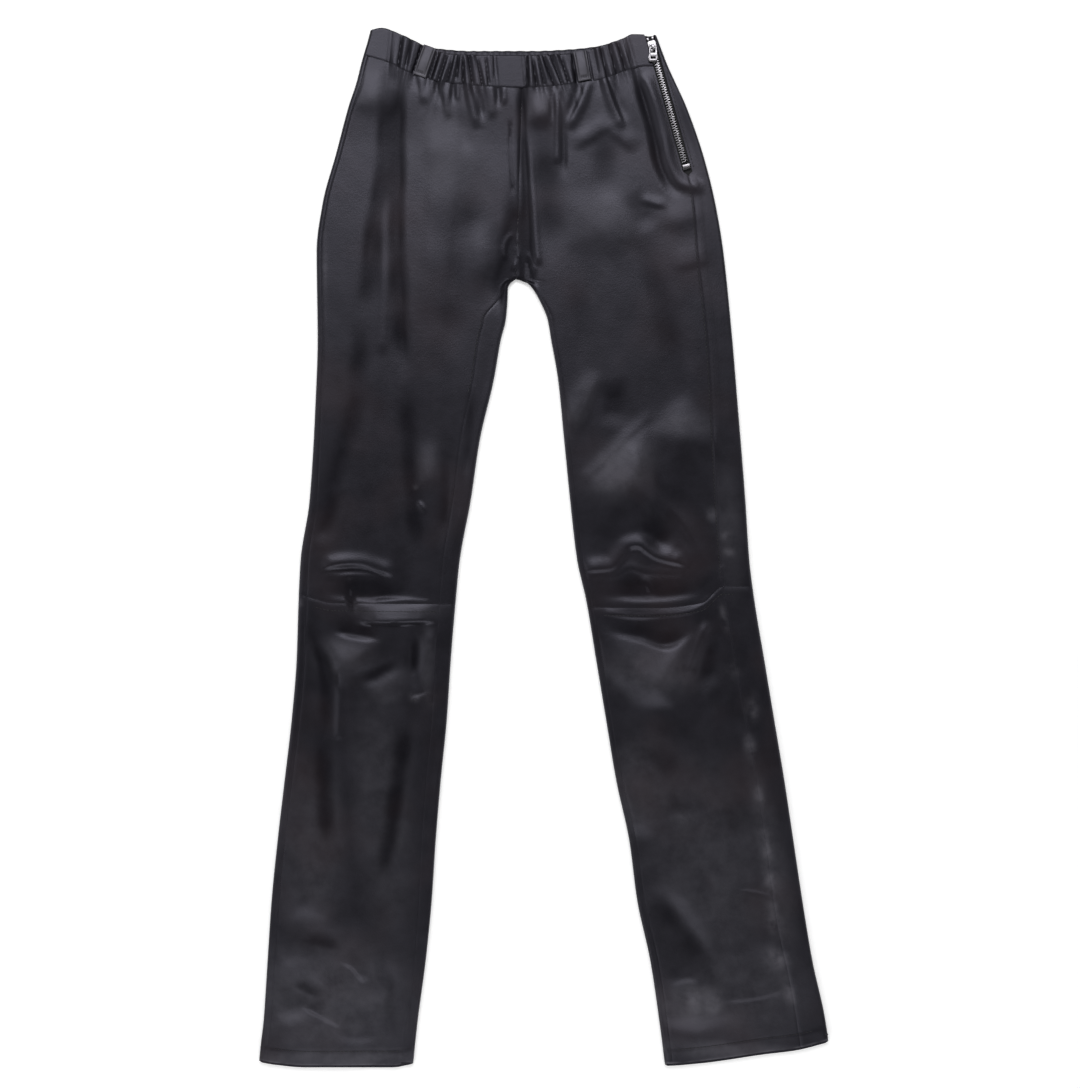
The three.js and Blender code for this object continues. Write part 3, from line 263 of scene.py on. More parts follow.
# Planes between the folds: a peak, and the points round it, each with its height over the face.
facets = [
    # right leg: hip, block above the knee, triangle below it, shin
    ((-172, 446, 2.4), [(-188, 474, 0), (-163, 478, 0), (-161, 444, 0.5), (-170, 430, 0), (-192, 438, 0)]),
    ((-116, 68, 3.0), [(-129, 106, 0), (-105, 108, 0), (-103, 66, 0.8), (-116, 57, 0), (-130, 64, 0.8)]),
    ((-204, -116, 6.5), [(-228, -86, 0), (-190, -92, 0), (-156, -96, 0), (-176, -114, 1), (-194, -142, 0), (-212, -136, 0), (-222, -112, 0.8)]),
    ((-236, -352, 4.0), [(-264, -290, 0), (-224, -296, 0), (-206, -338, 0), (-214, -370, 0), (-256, -368, 0)]),
    ((-252, -408, 2.8), [(-270, -384, 0), (-236, -386, 0), (-230, -410, 0), (-256, -420, 0)]),
    ((-250, -462, 3.4), [(-272, -430, 0), (-238, -434, 0), (-228, -460, 0), (-252, -474, 0), (-270, -466, 0)]),
    # front: the square facet beside the seam, the slack of the left hip
    ((-4, 428, 3.4), [(-15, 460, 0), (8, 458, 0), (9, 430, 1.0), (1, 421, 0), (-14, 423, 0.6)]),
    ((56, 318, 2.2), [(18, 352, 0), (60, 362, 0), (96, 342, 0), (99, 305, 0), (60, 286, 0), (20, 300, 0)]),
    ((136, 326, 1.6), [(108, 346, 0), (150, 350, 0), (162, 330, 0), (140, 314, 0), (112, 320, 0)]),
    # left thigh: the great plane over the knee's bag and the smaller one beside it
    ((90, 66, 9.4), [(36, 66, 0), (58, 88, 0.6), (80, 111, 1.0), (106, 133, 0), (113, 98, 1), (110, 62, 2), (106, 18, 0), (60, 12, 0), (46, 46, 1.5)]),
    ((138, 109, 5.4), [(108, 114, 1.5), (118, 142, 0), (142, 154, 0), (168, 122, 0), (172, 106, 1.5), (168, 56, 0), (140, 40, 0), (112, 54, 0.5)]),
    # left knee and shin: the planes in a V under the seam, the slack of the shin, the block over the hem
    ((110, -136, 8.6), [(50, -74, 0), (90, -88, 0), (126, -97, 0), (157, -76, 0), (147, -122, 2), (134, -160, 0), (94, -160, 0), (58, -116, 2)]),
    ((100, -268, 4.4), [(66, -212, 0), (118, -222, 0), (132, -262, 0), (112, -290, 0), (78, -286, 0)]),
    ((152, -468, 4.4), [(118, -430, 0), (186, -430, 0), (190, -466, 0.8), (152, -480, 0), (116, -472, 0.8)]),
]
facetCell, facetSoft = 1.5, 4.6  # mm of the grid that they are drawn on, and of their rounding

# Creases under the back, drawn up from the surface that it rests on.
backCreases = [
    (3.2, 0.9, 0.0, 0.3, [(-140, 452), (-134, 430), (-136, 404)]), (3.0, 0.8, 0.0, 0.3, [(-92, 450), (-88, 432), (-84, 410)]),
    (3.4, 0.9, 0.1, 0.3, [(-52, 450), (-50, 428), (-56, 402)]), (3.0, 0.8, 0.0, 0.3, [(6, 452), (10, 430), (8, 404)]),
    (3.2, 0.9, 0.1, 0.3, [(64, 456), (60, 434), (64, 408)]), (4.5, 0.9, 0.2, 0.2, [(-200, 250), (-130, 236), (-60, 252)]),
    (4.5, 0.8, 0.2, 0.2, [(10, 246), (70, 226), (150, 246)]), (4.0, 1.0, 0.2, 0.3, [(-226, -20), (-170, -30), (-104, -16)]),
    (4.0, 0.9, 0.2, 0.3, [(-224, -44), (-176, -56), (-110, -42)]), (4.4, 0.9, 0.2, 0.3, [(-222, -74), (-170, -84), (-106, -72)]),
    (4.0, 1.0, 0.2, 0.3, [(50, -12), (110, -26), (190, -10)]), (4.0, 0.9, 0.2, 0.3, [(56, -40), (120, -54), (192, -36)]),
    (4.4, 0.9, 0.2, 0.3, [(60, -74), (126, -86), (196, -68)]), (6.0, 0.7, 0.0, 0.1, [(-176, 180), (-172, 110), (-178, 40)]),
    (6.0, 0.7, 0.0, 0.1, [(112, 170), (116, 100), (108, 36)]), (6.0, 0.7, 0.0, 0.1, [(-180, -130), (-190, -220), (-196, -330)]),
    (6.0, 0.7, 0.0, 0.1, [(140, -130), (156, -220), (176, -330)]),
]

zipLine = {
    "top": np.array([105.5, 510.0]),
    "bottom": np.array([143.5, 376.5]),
    "opening": 9.2,
    "tapeThickness": 0.8,
    "tapeSide": 7.5,
    "chainHeight": 2.2,
    "sliderFrom": 5.0,
    "sliderTo": 17.0,
    "sliderHeight": 3.2,
    "pivotAt": 12.5,
    "pivotLift": 1.15,
}
zipLength = float(np.linalg.norm(zipLine["bottom"] - zipLine["top"]))
zipDown = (zipLine["bottom"] - zipLine["top"]) / zipLength
zipAcross = np.array([-zipDown[1], zipDown[0]])


def lowFace(y):
    rise = ease((y - garment["riseFrom"]) / (garment["riseTo"] - garment["riseFrom"]))
    return garment["bandLow"] * rise


def highFace(y):
    rise = ease((y - garment["riseFrom"]) / (garment["riseTo"] - garment["riseFrom"]))
    return mix(garment["faceHeight"], garment["panelHigh"], rise)


def edgeRadius(y):
    return (highFace(y) - lowFace(y)) / 2


def outerX(side, y):
    return curve(outerEdges, "outerRight" if side < 0 else "outerLeft", y)


def innerX(side, y):
    return curve(innerEdges, "innerRight" if side < 0 else "innerLeft", y)


def centreX(y):
    return mix(-21.5, garment["crotchX"], (458.5 - y) / (458.5 - garment["crotchY"]))


def zipX(y):
    return zipLine["top"][0] + (y - zipLine["top"][1]) * zipDown[0] / zipDown[1]


def outseam(side, y):
    # the seam's middle and half the gap that it leaves: the zip's opening, then a seam
    gap = garment["seamGap"] / 2
    if side < 0:
        return outerX(-1, y) + curve(seamInsets, "outRight", y), gap + 0 * y
    opened = ease((y - 371.5) / 4.5)
    x = np.where(y > zipLine["bottom"][1], zipX(y), curve(leftOutseam, "x", y))
    return x, mix(gap, zipLine["opening"] / 2 / zipAcross[0], opened)


archY = mix(garment["crotchY"], 244.0, np.linspace(0, 1, 17) ** 2)
archPoints = [(float(innerX(side, y)), y) for side in (-1, 1) for y in archY]


def crotchRound(x, y, radius):
    # how far the round of the crotch draws both faces in: a quarter circle over the distance to the arch
    away = np.full(np.shape(x), 1e9)
    for px, py in archPoints:
        away = np.minimum(away, np.hypot(x - px, y - py))
    inset = np.minimum(radius, away)
    drawn = radius - np.sqrt(radius**2 - (radius - inset) ** 2)
    near = (y >= garment["crotchY"]) & (y < garment["crotchY"] + 8)
    return np.where(near, np.minimum(radius - 0.2, drawn), 0)


def route(points):
    # smooth line through the points: a cubic between each two, with its slope from their neighbours
    p = np.array(points, float)
    p = np.vstack([2 * p[0] - p[1], p, 2 * p[-1] - p[-2]])
    t = np.linspace(0, 1, 7)[:-1, None]
    spans = []
    for a, b, c, d in zip(p, p[1:], p[2:], p[3:]):
        spans.append(b + t * (c - a) / 2 + t**2 * (a - 2.5 * b + 2 * c - d / 2) + t**3 * ((d - a) / 2 + 1.5 * (b - c)))
    return np.vstack(spans + [p[-2:-1]])


def flank(t):
    # straight fall from 1 at the line to 0 at t = 1, eased at its foot
    foot = 0.35
    return np.where(t < 1 - foot, 1 - t, np.clip(1 + foot - t, 0, None) ** 2 / (4 * foot))


def creaseHeight(rows, x, y):
    # the sum over the rows of a bell across each line, which fades at both ends and wavers a little
    total = np.zeros(np.shape(x))
    for number, (halfWidth, height, lean, sharp, points) in enumerate(rows):
        line = route(points)
        reach = 4 * halfWidth
        near = (x > line[:, 0].min() - reach) & (x < line[:, 0].max() + reach)
        near &= (y > line[:, 1].min() - reach) & (y < line[:, 1].max() + reach)
        if not near.any():
            continue
        step = np.diff(line, axis=0)
        length = np.hypot(*step.T)
        offX, offY = x[near][:, None] - line[:-1, 0], y[near][:, None] - line[:-1, 1]
        along = np.clip((offX * step[:, 0] + offY * step[:, 1]) / length**2, 0, 1)
        offX, offY = offX - along * step[:, 0], offY - along * step[:, 1]
        away = np.hypot(offX, offY)
        nearest = away.argmin(1)
        pick = np.arange(len(nearest)), nearest
        at = np.concatenate([[0], np.cumsum(length)])[nearest] + along[pick] * length[nearest]
        leftward = (step[nearest, 0] * offY[pick] - step[nearest, 1] * offX[pick]) / length[nearest]
        width = halfWidth * (1 + lean * np.tanh(2 * leftward / halfWidth))
        rounding = halfWidth * 0.18
        away = np.hypot(away[pick], rounding) - rounding
        fadeOver = min(0.4 * length.sum(), (3 if height > 0 else 7) * halfWidth)
        fade = ease(at / fadeOver) * ease((length.sum() - at) / fadeOver)
        waver = 1 + 0.14 * np.sin(at / 9 + number)
        total[near] += height * waver * fade * mix(bell(away, width), flank(away / width / 1.3), sharp)
    return total


def facetGrid():
    # the facets' heights on a level grid, blurred so that their edges turn over softly
    x, y = np.meshgrid(np.arange(-300, 301, facetCell), np.arange(-540, 541, facetCell))
    total = np.zeros(x.shape)
    for peak, ring in facets:
        done = np.zeros(x.shape, bool)
        px, py, pz = peak
        for (ax, ay, az), (bx, by, bz) in zip(ring, ring[1:] + ring[:1]):
            area = (ax - px) * (by - py) - (bx - px) * (ay - py)
            a = ((x - px) * (by - py) - (bx - px) * (y - py)) / area
            b = ((ax - px) * (y - py) - (x - px) * (ay - py)) / area
            inside = (a >= 0) & (b >= 0) & (a + b <= 1) & ~done
            total[inside] += (pz + a * (az - pz) + b * (bz - pz))[inside]
            done |= inside
    reach = int(3 * facetSoft / facetCell)
    weights = bell(np.arange(-reach, reach + 1) * facetCell, facetSoft * 1.4142)
    for axis in (0, 1):
        total = sum(w * np.roll(total, k - reach, axis) for k, w in enumerate(weights / weights.sum()))
    return total


facetHeights = facetGrid()


def between(grid, i, j):
    # bilinear reading of a grid; i and j count columns and rows
    a = np.clip(np.floor(i).astype(int), 0, grid.shape[1] - 2)
    b = np.clip(np.floor(j).astype(int), 0, grid.shape[0] - 2)
    s, t = i - a, j - b
    return mix(mix(grid[b, a], grid[b, a + 1], s), mix(grid[b + 1, a], grid[b + 1, a + 1], s), t)


def facetAt(x, y):
    return between(facetHeights, (x + 300) / facetCell, (y + 540) / facetCell)


# Slack of a worn hide: seeded unevenness, longer up the leg than across. Columns: turn, mm across, mm up, height.
slackRandom = np.random.default_rng(11)
slack = [(turn, across, up, height, slackRandom.uniform(-1, 1, (80, 80)))
         for turn, across, up, height in ((0.10, 44, 130, 0.8), (-0.16, 27, 70, 0.3), (0.3, 13, 24, 0.1))]


def slackAt(x, y):
    total = np.zeros(np.shape(x))
    for turn, across, up, height, grid in slack:
        i = (x * np.cos(turn) + y * np.sin(turn)) / across + 40
        j = (y * np.cos(turn) - x * np.sin(turn)) / up + 40
        a, b = np.floor(i), np.floor(j)
        total += height * between(grid, a + ease(i - a), b + ease(j - b))
    return total


# Crests of the elastic's gathers: the middle of each, its height at the top and at the seam, its lean.
gathers = table("x atTop atSeam halfWidth lean", [
    (-147, 0.6, 1.0, 3.0, -3), (-139, 1.3, 1.1, 2.6, -5), (-131, 0.7, 1.2, 2.4, -7), (-104.5, 1.7, 1.2, 2.8, -9),
    (-97, 0.6, 1.3, 2.2, -9), (-89.5, 1.5, 1.3, 2.4, -6), (-83, 1.1, 0.6, 2.0, -2), (-77, 1.2, 1.7, 2.6, 3),
    (-68, 1.5, 0.9, 2.8, 6), (-59.5, 0.5, 1.2, 2.4, 5), (-53, 0.9, 0.4, 2.2, 3), (-13, 1.6, 1.1, 2.8, 3),
    (-5.5, 0.6, 1.2, 2.2, 6), (1, 1.6, 1.2, 2.6, 10), (9.5, 0.9, 1.4, 2.6, 13), (17, 1.6, 1.0, 2.8, 10),
    (25, 0.6, 1.2, 2.4, 8), (56.5, 1.4, 1.1, 2.8, 7), (64, 0.6, 1.2, 2.4, 8), (73.5, 1.5, 1.0, 2.6, 9),
    (81.5, 0.8, 1.1, 2.2, 9),
])
gatherDepth = 0.6


def gatherAt(x, down):
    # crests are bells across the strip, and the spans between them sink; down is 0 at the top edge, 1 at
    # the seam, and more over the panels
    total = np.zeros(np.shape(x + down))
    nearest = np.full(np.shape(x + down), 1e9)
    for gx, atTop, atSeam, halfWidth, lean in zip(*gathers.values()):
        away = np.abs(x - gx - lean * (down - 0.5))
        total = np.maximum(total, mix(atTop, atSeam, np.clip(down, 0, 1)) * bell(away, halfWidth))
        nearest = np.minimum(nearest, away)
    trough = np.where(nearest < 9, ease((nearest - 3) / 3) * ease((9 - nearest) / 3), 0)
    return total - gatherDepth * trough


def sideOf(x, y):
    below = y < garment["crotchY"]
    middle = np.where(below, (innerX(-1, y) + innerX(1, y)) / 2, garment["crotchX"])
    return np.where(x > middle, 1, -1)


def seamWork(x, y):
    # what sewing does to the face: a groove at each seam, the turned allowance raised beside it
    knee = y - curve(kneeSeam, "y", x)
    total = -0.35 * bell(knee, 1.2) + 0.18 * ease((-knee - 0.4) / 4) * ease((12 + knee) / 5)
    waist = curve(bandSeam, "y", x) - y
    below = np.clip(waist, 0, 60)
    total += gatherAt(x, 1 + below / 32) * np.exp(-below / 13)
    centre = np.where(y > garment["crotchY"], x - centreX(y), 99)
    total += -0.6 * bell(centre, 1.2) + 0.3 * ease((centre - 0.4) / 2) * ease((9 - centre) / 4)
    for side in (-1, 1):
        seam, half = outseam(side, y)
        inward = -side * (x - seam) - half
        total += -0.45 * bell(inward, 1.1) * (half < 1)
        total += 0.2 * ease((-inward - 0.4) / 1.6) * ease((9 + inward) / 3) * (half < 1)
        inset = curve(seamInsets, "inRight" if side < 0 else "inLeft", y)
        inner = innerX(side, y) + side * inset
        below = y < garment["crotchY"] - 8
        total += np.where(below & (inset > 2), -0.35 * bell(x - inner, 1.0), 0)
    hem = y - curve(backHem, "y", x) - garment["hemLift"]
    total += 0.5 * ease((garment["hemTurn"] - hem) / 2) - 0.4 * bell(hem - garment["hemTurn"] + 1.5, 0.9)
    return total


def topFace(x, y):
    # the front's face over any point; folds fade towards the edges
    side = sideOf(x, y)
    outer = np.where(side < 0, outerX(-1, y), outerX(1, y))
    inner = np.where(side < 0, innerX(-1, y), innerX(1, y))
    inset = np.abs(outer - x)
    inset = np.where(y < garment["crotchY"], np.minimum(inset, np.abs(inner - x)), inset)
    shaped = (creaseHeight(creases, x, y) + facetAt(x, y) + slackAt(x, y)) * ease((inset - 2.5) / 7)
    seams = seamWork(x, y) * ease((inset - 2.6) / 2)
    least = lowFace(y) + 2 * garment["leather"] + 0.5
    # the face rests softly on the layer below it
    over = highFace(y) + shaped + seams - least
    return least + (over + np.sqrt(over**2 + 1.2)) / 2 - 0.08


# Bloom and painted light: wide soft patches where handling has greyed the finish; several lie on lit planes and facets
# as painted highlights, and the greying is taken out of the creases as painted shade.
bloomAndHighlightPatches = [
    # x, y, half width, half length, turn in degrees, amount
    # painted highlights among them: the lit plane over the left knee's bag at (76, 80), the bright strip under the
    # right knee seam at (-146, -62), and the hip facets at (-175, 460) and (-4, 442)
    (-216, -450, 80, 62, 0, 0.62), (-232, -300, 34, 90, 0, 0.42), (-160, -260, 30, 120, 4, 0.36),
    (-254, -450, 22, 16, 0, 0.45), (-142, -465, 9, 26, 0, 0.4), (-205, -508, 90, 12, 0, 0.85),
    (100, -240, 36, 60, 0, 0.45), (150, -452, 36, 22, 0, 0.9), (200, -440, 64, 56, 0, 0.45),
    (165, -310, 66, 110, 16, 0.42), (226, -310, 16, 100, 12, 0.45), (205, -504, 90, 12, -6, 0.8),
    (108, -122, 44, 28, 0, 0.6), (-200, -106, 28, 18, 0, 0.5), (-146, -62, 44, 8, 0, 0.45),
    (-116, -112, 7, 36, 0, 0.4), (-155, -140, 24, 16, 40, 0.35), (76, 80, 34, 24, 40, 0.85),
    (140, 124, 26, 14, 0, 0.45), (34, 140, 12, 40, -24, 0.35), (-116, 84, 12, 22, 0, 0.3),
    (-175, 460, 13, 18, 0, 0.35), (-4, 442, 11, 13, 0, 0.45), (-104, 390, 40, 52, 0, 0.3),
    (60, 330, 42, 26, 0, 0.25), (186, 20, 12, 60, 4, 0.35), (168, 34, 6, 7, 0, 0.5),
]


def bloomHighlightAndShadeAt(x, y):
    total = np.zeros(np.shape(x))
    for bx, by, halfWidth, halfLength, turn, amount in bloomAndHighlightPatches:
        c, s = np.cos(np.radians(turn)), np.sin(np.radians(turn))
        dx, dy = x - bx, y - by
        across, along = (dx * c + dy * s) / halfWidth, (dy * c - dx * s) / halfLength
        total = np.maximum(total, amount * np.exp(-((across**2 + along**2) ** 1.5)))
    # painted shade: the greying fades where a crease sinks, so the creases read darker
    return total * ease(1.15 + creaseHeight(creases, x, y) / 3)


def edgePoint(side, edge, y, path):
    # a point on a rounded edge: path runs from the outermost point, up and in over the face when
    # positive, under the back when negative, round a quarter circle and then straight on
    radius = edgeRadius(y)
    quarter = radius * np.pi / 2
    turn = np.minimum(quarter, np.abs(path)) / radius
    run = np.maximum(0, np.abs(path) - quarter)
    x = edge - side * (radius * (1 - np.cos(turn)) + run)
    round_ = lowFace(y) + radius + np.sign(path) * radius * np.sin(turn)
    flat = np.where(path > 0, topFace(x, y), lowFace(y))
    blendIn = ease((run - 0.01) / 0.3)
    return np.stack([x, y + 0 * x, np.where(run > 0, mix(round_, flat, blendIn), round_)], -1)


def seamPath(inset, y):
    # length along the rounded edge at which a seam with this inset lies
    radius = edgeRadius(y)
    share = np.clip(1 - inset / radius, -1, 1)
    return np.where(inset >= radius, radius * np.pi / 2 + inset - radius, radius * np.arccos(share))


def insideGap(y):
    return garment["seamGap"] / 2 + 0 * y


def insideInset(side, y):
    return curve(seamInsets, "inRight" if side < 0 else "inLeft", y)


def centreGap(y):
    return garment["seamGap"] / 2 + 0 * y


def frontPoint(side, y, u):
    # u runs from the outseam to the centre seam, and below the crotch to the inseam
    seam, half = outseam(side, y)
    outer = seam - side * half
    inner = centreX(y) + side * centreGap(y)
    x = mix(outer, inner, u)
    above = np.stack([x, y, topFace(x, y) - crotchRound(x, y, edgeRadius(y))], -1)
    edge = innerX(side, y)
    quarter = edgeRadius(y) * np.pi / 2
    start = seamPath(insideInset(side, y), y) + insideGap(y)
    far = np.abs(outer - edge) - edgeRadius(y) + quarter
    below = edgePoint(-side, edge, y, mix(far, start, u))
    return np.where((y >= garment["crotchY"])[..., None], above, below)


backParts = {"flap": 14, "outerArc": 10, "under": 26, "lowerArc": 5, "upperArc": 6, "innerFlap": 12}


def underAt(side, x, y):
    # how far creases draw the underside up; none at its edges
    outer = np.abs(outerX(side, y) - x)
    inner = np.where(y < garment["crotchY"], np.abs(innerX(side, y) - x), 99)
    return creaseHeight(backCreases, x, y) * ease((np.minimum(outer, inner) - 4) / 14)


def backPoint(side, y, step):
    # step runs round the leg: flap, outer edge, underneath, half of the inner edge
    radius = edgeRadius(y)
    quarter = radius * np.pi / 2
    edge = outerX(side, y)
    seam, half = outseam(side, y)
    flapEnd = seamPath(np.abs(edge - seam - side * half), y)
    share = np.clip(step / backParts["flap"], 0, 1)
    flap = edgePoint(side, edge, y, mix(flapEnd, np.minimum(quarter, flapEnd), share))
    share = np.clip((step - backParts["flap"]) / backParts["outerArc"], 0, 1)
    arc = edgePoint(side, edge, y, mix(np.minimum(quarter, flapEnd), -quarter, share))
    past = step - backParts["flap"] - backParts["outerArc"]
    across = np.clip(past / backParts["under"], 0, 1)
    lower = np.clip((past - backParts["under"]) / backParts["lowerArc"], 0, 1)
    start = edge - side * radius
    inner = centreX(y) + side * centreGap(y)
    beforeArc = 4.5
    x = mix(start, inner + side * beforeArc, across) - side * beforeArc * lower
    above = np.stack([x, y, lowFace(y) + crotchRound(x, y, radius) + underAt(side, x, y)], -1)
    inside = innerX(side, y)
    end = seamPath(insideInset(side, y), y) - insideGap(y)
    x = mix(start, inside + side * radius, across)
    flat = np.stack([x, y, lowFace(y) + underAt(side, x, y)], -1)
    turned = edgePoint(-side, inside, y, mix(-quarter, np.minimum(0, end), lower))
    below = np.where((lower > 0)[..., None], turned, flat)
    under = np.where((y >= garment["crotchY"])[..., None], above, below)
    return np.where((step < backParts["flap"])[..., None], flap, np.where((past < 0)[..., None], arc, under))


def innerWrap(side, y, u):
    # the back panel's strip from the inner edge's outermost point over to the inseam
    end = np.maximum(seamPath(insideInset(side, y), y) - insideGap(y), 0.01)
    return edgePoint(-side, innerX(side, y), y, end * u)


def settle(start, seamAt):
    # the height at which a column, whose place across depends on its height, meets a seam
    y = start
    for _ in range(4):
        y = seamAt(y)
    return y


def panelRows(levels, top, bottom):
    # level rows, bent over the last stretch at each end to the seams that the panel meets
    first, last = levels[0], levels[-1]
    nearTop = ease(1 - (first - levels) / 80)
    nearBottom = ease(1 - (levels - last) / 40)
    return levels[:, None] + (top - first)[None] * nearTop[:, None] + (bottom - last)[None] * nearBottom[:, None]


def gridRows(levels, columns, pointAt, topAt, bottomAt):
    top = settle(np.full(len(columns), levels[0]), lambda y: topAt(pointAt(y, columns)[..., 0]))
    bottom = settle(np.full(len(columns), levels[-1]), lambda y: bottomAt(pointAt(y, columns)[..., 0]))
    y = panelRows(levels, top, bottom)
    return pointAt(y, np.broadcast_to(columns, y.shape))


def gridFaces(rows, columns, first, turned):
    j, i = np.meshgrid(np.arange(rows - 1), np.arange(columns - 1), indexing="ij")
    a = (first + j * columns + i).ravel()
    quads = np.stack([a, a + columns, a + columns + 1, a + 1], -1)
    return quads[:, ::-1] if turned else quads


def meshPiece(name, grids, turned, material, thickness=None, sharp=35):
    # welds grids of points into one surface, gives it a wall inwards, and applies it
    points = np.concatenate([grid.reshape(-1, 3) for grid in grids])
    faces, first = [], 0
    for grid in grids:
        faces.append(gridFaces(grid.shape[0], grid.shape[1], first, turned))
        first += grid.shape[0] * grid.shape[1]
    faces = np.concatenate(faces)
    _, keep, index = np.unique(np.round(points, 3), axis=0, return_index=True, return_inverse=True)
    faces = index.reshape(-1)[faces]
    points = points[keep]
    solid = np.array([len(set(face)) == 4 for face in faces])
    mesh = bpy.data.meshes.new(name)
    mesh.from_pydata((points * mm).tolist(), [], faces[solid].tolist())
    piece = bpy.data.objects.new(name, mesh)
    scene.collection.objects.link(piece)
    mesh.materials.append(material)
    if thickness:
        wall = piece.modifiers.new("wall", "SOLIDIFY")
        wall.thickness = thickness * mm
        wall.offset = -1
        wall.use_quality_normals = True
        applyModifiers(piece)
    smooth(piece, sharp)
    return piece


# Pale marks in ellipses that the shader breaks up: mostly places where the finish has rubbed off, and a few painted
# highlights on the right leg.
scuffsAndHighlights = table("number x y halfWidth halfLength turn amount", [
    (number, *row) for number, row in enumerate([
        (206, -198, 5, 13, 12, 0.5), (215, -247, 5, 14, 10, 0.4), (222, -296, 6, 16, 8, 0.6),
        (226, -330, 6, 15, 8, 0.6), (230, -368, 7, 17, 12, 0.55), (233, -408, 11, 11, 14, 0.6),
        (245, -442, 6, 14, 14, 0.5), (169, 34, 4, 6, 0, 0.5), (182, 12, 5, 4, 0, 0.6),
        (184, -4, 5, 4, 0, 0.5), (180, -70, 3, 12, 10, 0.5), (168, -452, 11, 9, 0, 0.6),
        (150, -448, 10, 14, 0, 0.5), (188, -122, 9, 9, 0, 0.25), (208, -160, 6, 12, 0, 0.35),
        # painted highlights: the spots at (-112, -150) and (-128, -148) on the end of the ridge under the right knee,
        # the spot at (-243, -54) by the right knee seam, and the thin line at (-218, 278) along the right outseam
        (138, -268, 10, 6, 0, 0.25), (-112, -150, 4, 5, 0, 0.4), (-128, -148, 5, 4, 0, 0.6),
        (-128, 62, 3, 3, 0, 0.3), (-243, -54, 5, 5, 0, 0.4), (-218, 278, 2.5, 40, 0, 0.25),
    ])
])


def wearAndHighlightAt(x, y):
    # soft ellipses of wear and of painted highlight, the strongest one at each place
    total = np.zeros(np.shape(x))
    for k in range(len(scuffsAndHighlights["x"])):
        w = {name: scuffsAndHighlights[name][k] for name in scuffsAndHighlights}
        turn = np.radians(w["turn"])
        dx, dy = x - w["x"], y - w["y"]
        across = (dx * np.cos(turn) + dy * np.sin(turn)) / w["halfWidth"]
        along = (dy * np.cos(turn) - dx * np.sin(turn)) / w["halfLength"]
        total = np.maximum(total, w["amount"] * np.exp(-(across**2) - along**2))
    return total


def markWearAndPaintedLight(piece):
    # the shader reads these attributes on the leather: wear, with a few painted highlights; bloom, with painted
    # highlights and painted shade; and the folds' painted shade
    mesh = piece.data
    points = np.empty(len(mesh.vertices) * 3)
    mesh.vertices.foreach_get("co", points)
    points = points.reshape(-1, 3) / mm
    x, y, front = points[:, 0], points[:, 1], points[:, 2] > 3
    hem = y - curve(backHem, "y", x) - garment["hemLift"]
    wornAndHighlit = np.maximum(wearAndHighlightAt(x, y), 0.8 * ease(1 - np.abs(hem) / 2.2))
    # fold: painted shade, strongest where a crease sinks deepest
    values = {"wear": wornAndHighlit, "bloom": bloomHighlightAndShadeAt(x, y), "fold": ease(-creaseHeight(creases, x, y) / 2.6)}
    for name in values:
        mesh.attributes.new(name, "FLOAT", "POINT").data.foreach_set("value", values[name] * front)


def applyModifiers(piece):
    graph = bpy.context.evaluated_depsgraph_get()
    made = bpy.data.meshes.new_from_object(piece.evaluated_get(graph))
    old = piece.data
    piece.modifiers.clear()
    piece.data = made
    made.name = piece.name
    bpy.data.meshes.remove(old)


def smooth(piece, sharp):
    mesh = piece.data
    mesh.polygons.foreach_set("use_smooth", np.ones(len(mesh.polygons), bool))
    mesh.set_sharp_from_angle(angle=np.radians(sharp))
    mesh.update()


def linear(colour):
    # an sRGB hex colour as linear light
    parts = np.array([int(colour[i:i + 2], 16) for i in (1, 3, 5)]) / 255
    return (*np.where(parts <= 0.04045, parts / 12.92, ((parts + 0.055) / 1.055) ** 2.4), 1.0)


def node(tree, kind, settings=None, links=None):
    # adds a node, sets its sockets and properties, and links its inputs
    made = tree.nodes.new(kind)
    for key, value in (settings or {}).items():
        if key in made.inputs:
            made.inputs[key].default_value = value
        else:
            setattr(made, key, value)
    for key, source in (links or {}).items():
        tree.links.new(source, made.inputs[key])
    return made


def newMaterial(name):
    made = bpy.data.materials.new(name)
    made.use_nodes = True
    tree = made.node_tree
    tree.nodes.clear()
    shader = node(tree, "ShaderNodeBsdfPrincipled")
    output = node(tree, "ShaderNodeOutputMaterial")
    tree.links.new(shader.outputs[0], output.inputs[0])
    return made, tree, shader


def product(tree, a, b):
    made = node(tree, "ShaderNodeMath", {"operation": "MULTIPLY"})
    tree.links.new(a, made.inputs[0])
    tree.links.new(b, made.inputs[1])
    return made.outputs[0]


def blend(tree, share, under, over):
    # the colour under, mixed by a share with a fixed colour over it
    made = node(tree, "ShaderNodeMix", {"data_type": "RGBA"})
    made.inputs[7].default_value = linear(over)
    tree.links.new(share, made.inputs[0])
    tree.links.new(under, made.inputs[6])
    return made.outputs[2]


leatherLook = {
    "dark": "#0f0e12",
    "light": "#18171c",
    "greyed": "#424146",
    "brown": "#35292a",
    # the pale colour of wear and of the painted highlight spots
    "rubbedAndHighlight": "#6d6b72",
    "smoothest": 0.34,
    "roughest": 0.47,
    "duller": 0.1,  # roughness that the bloom adds
    "gloss": 0.52,
    # specular level in the deepest folds, a painted shade
    "foldShadeGloss": 0.2,
    "grain": 1.6,  # mm between pebbles; real nappa has 0.4 to 0.8, drawn coarser so that it shows
    "pore": 0.5,
}


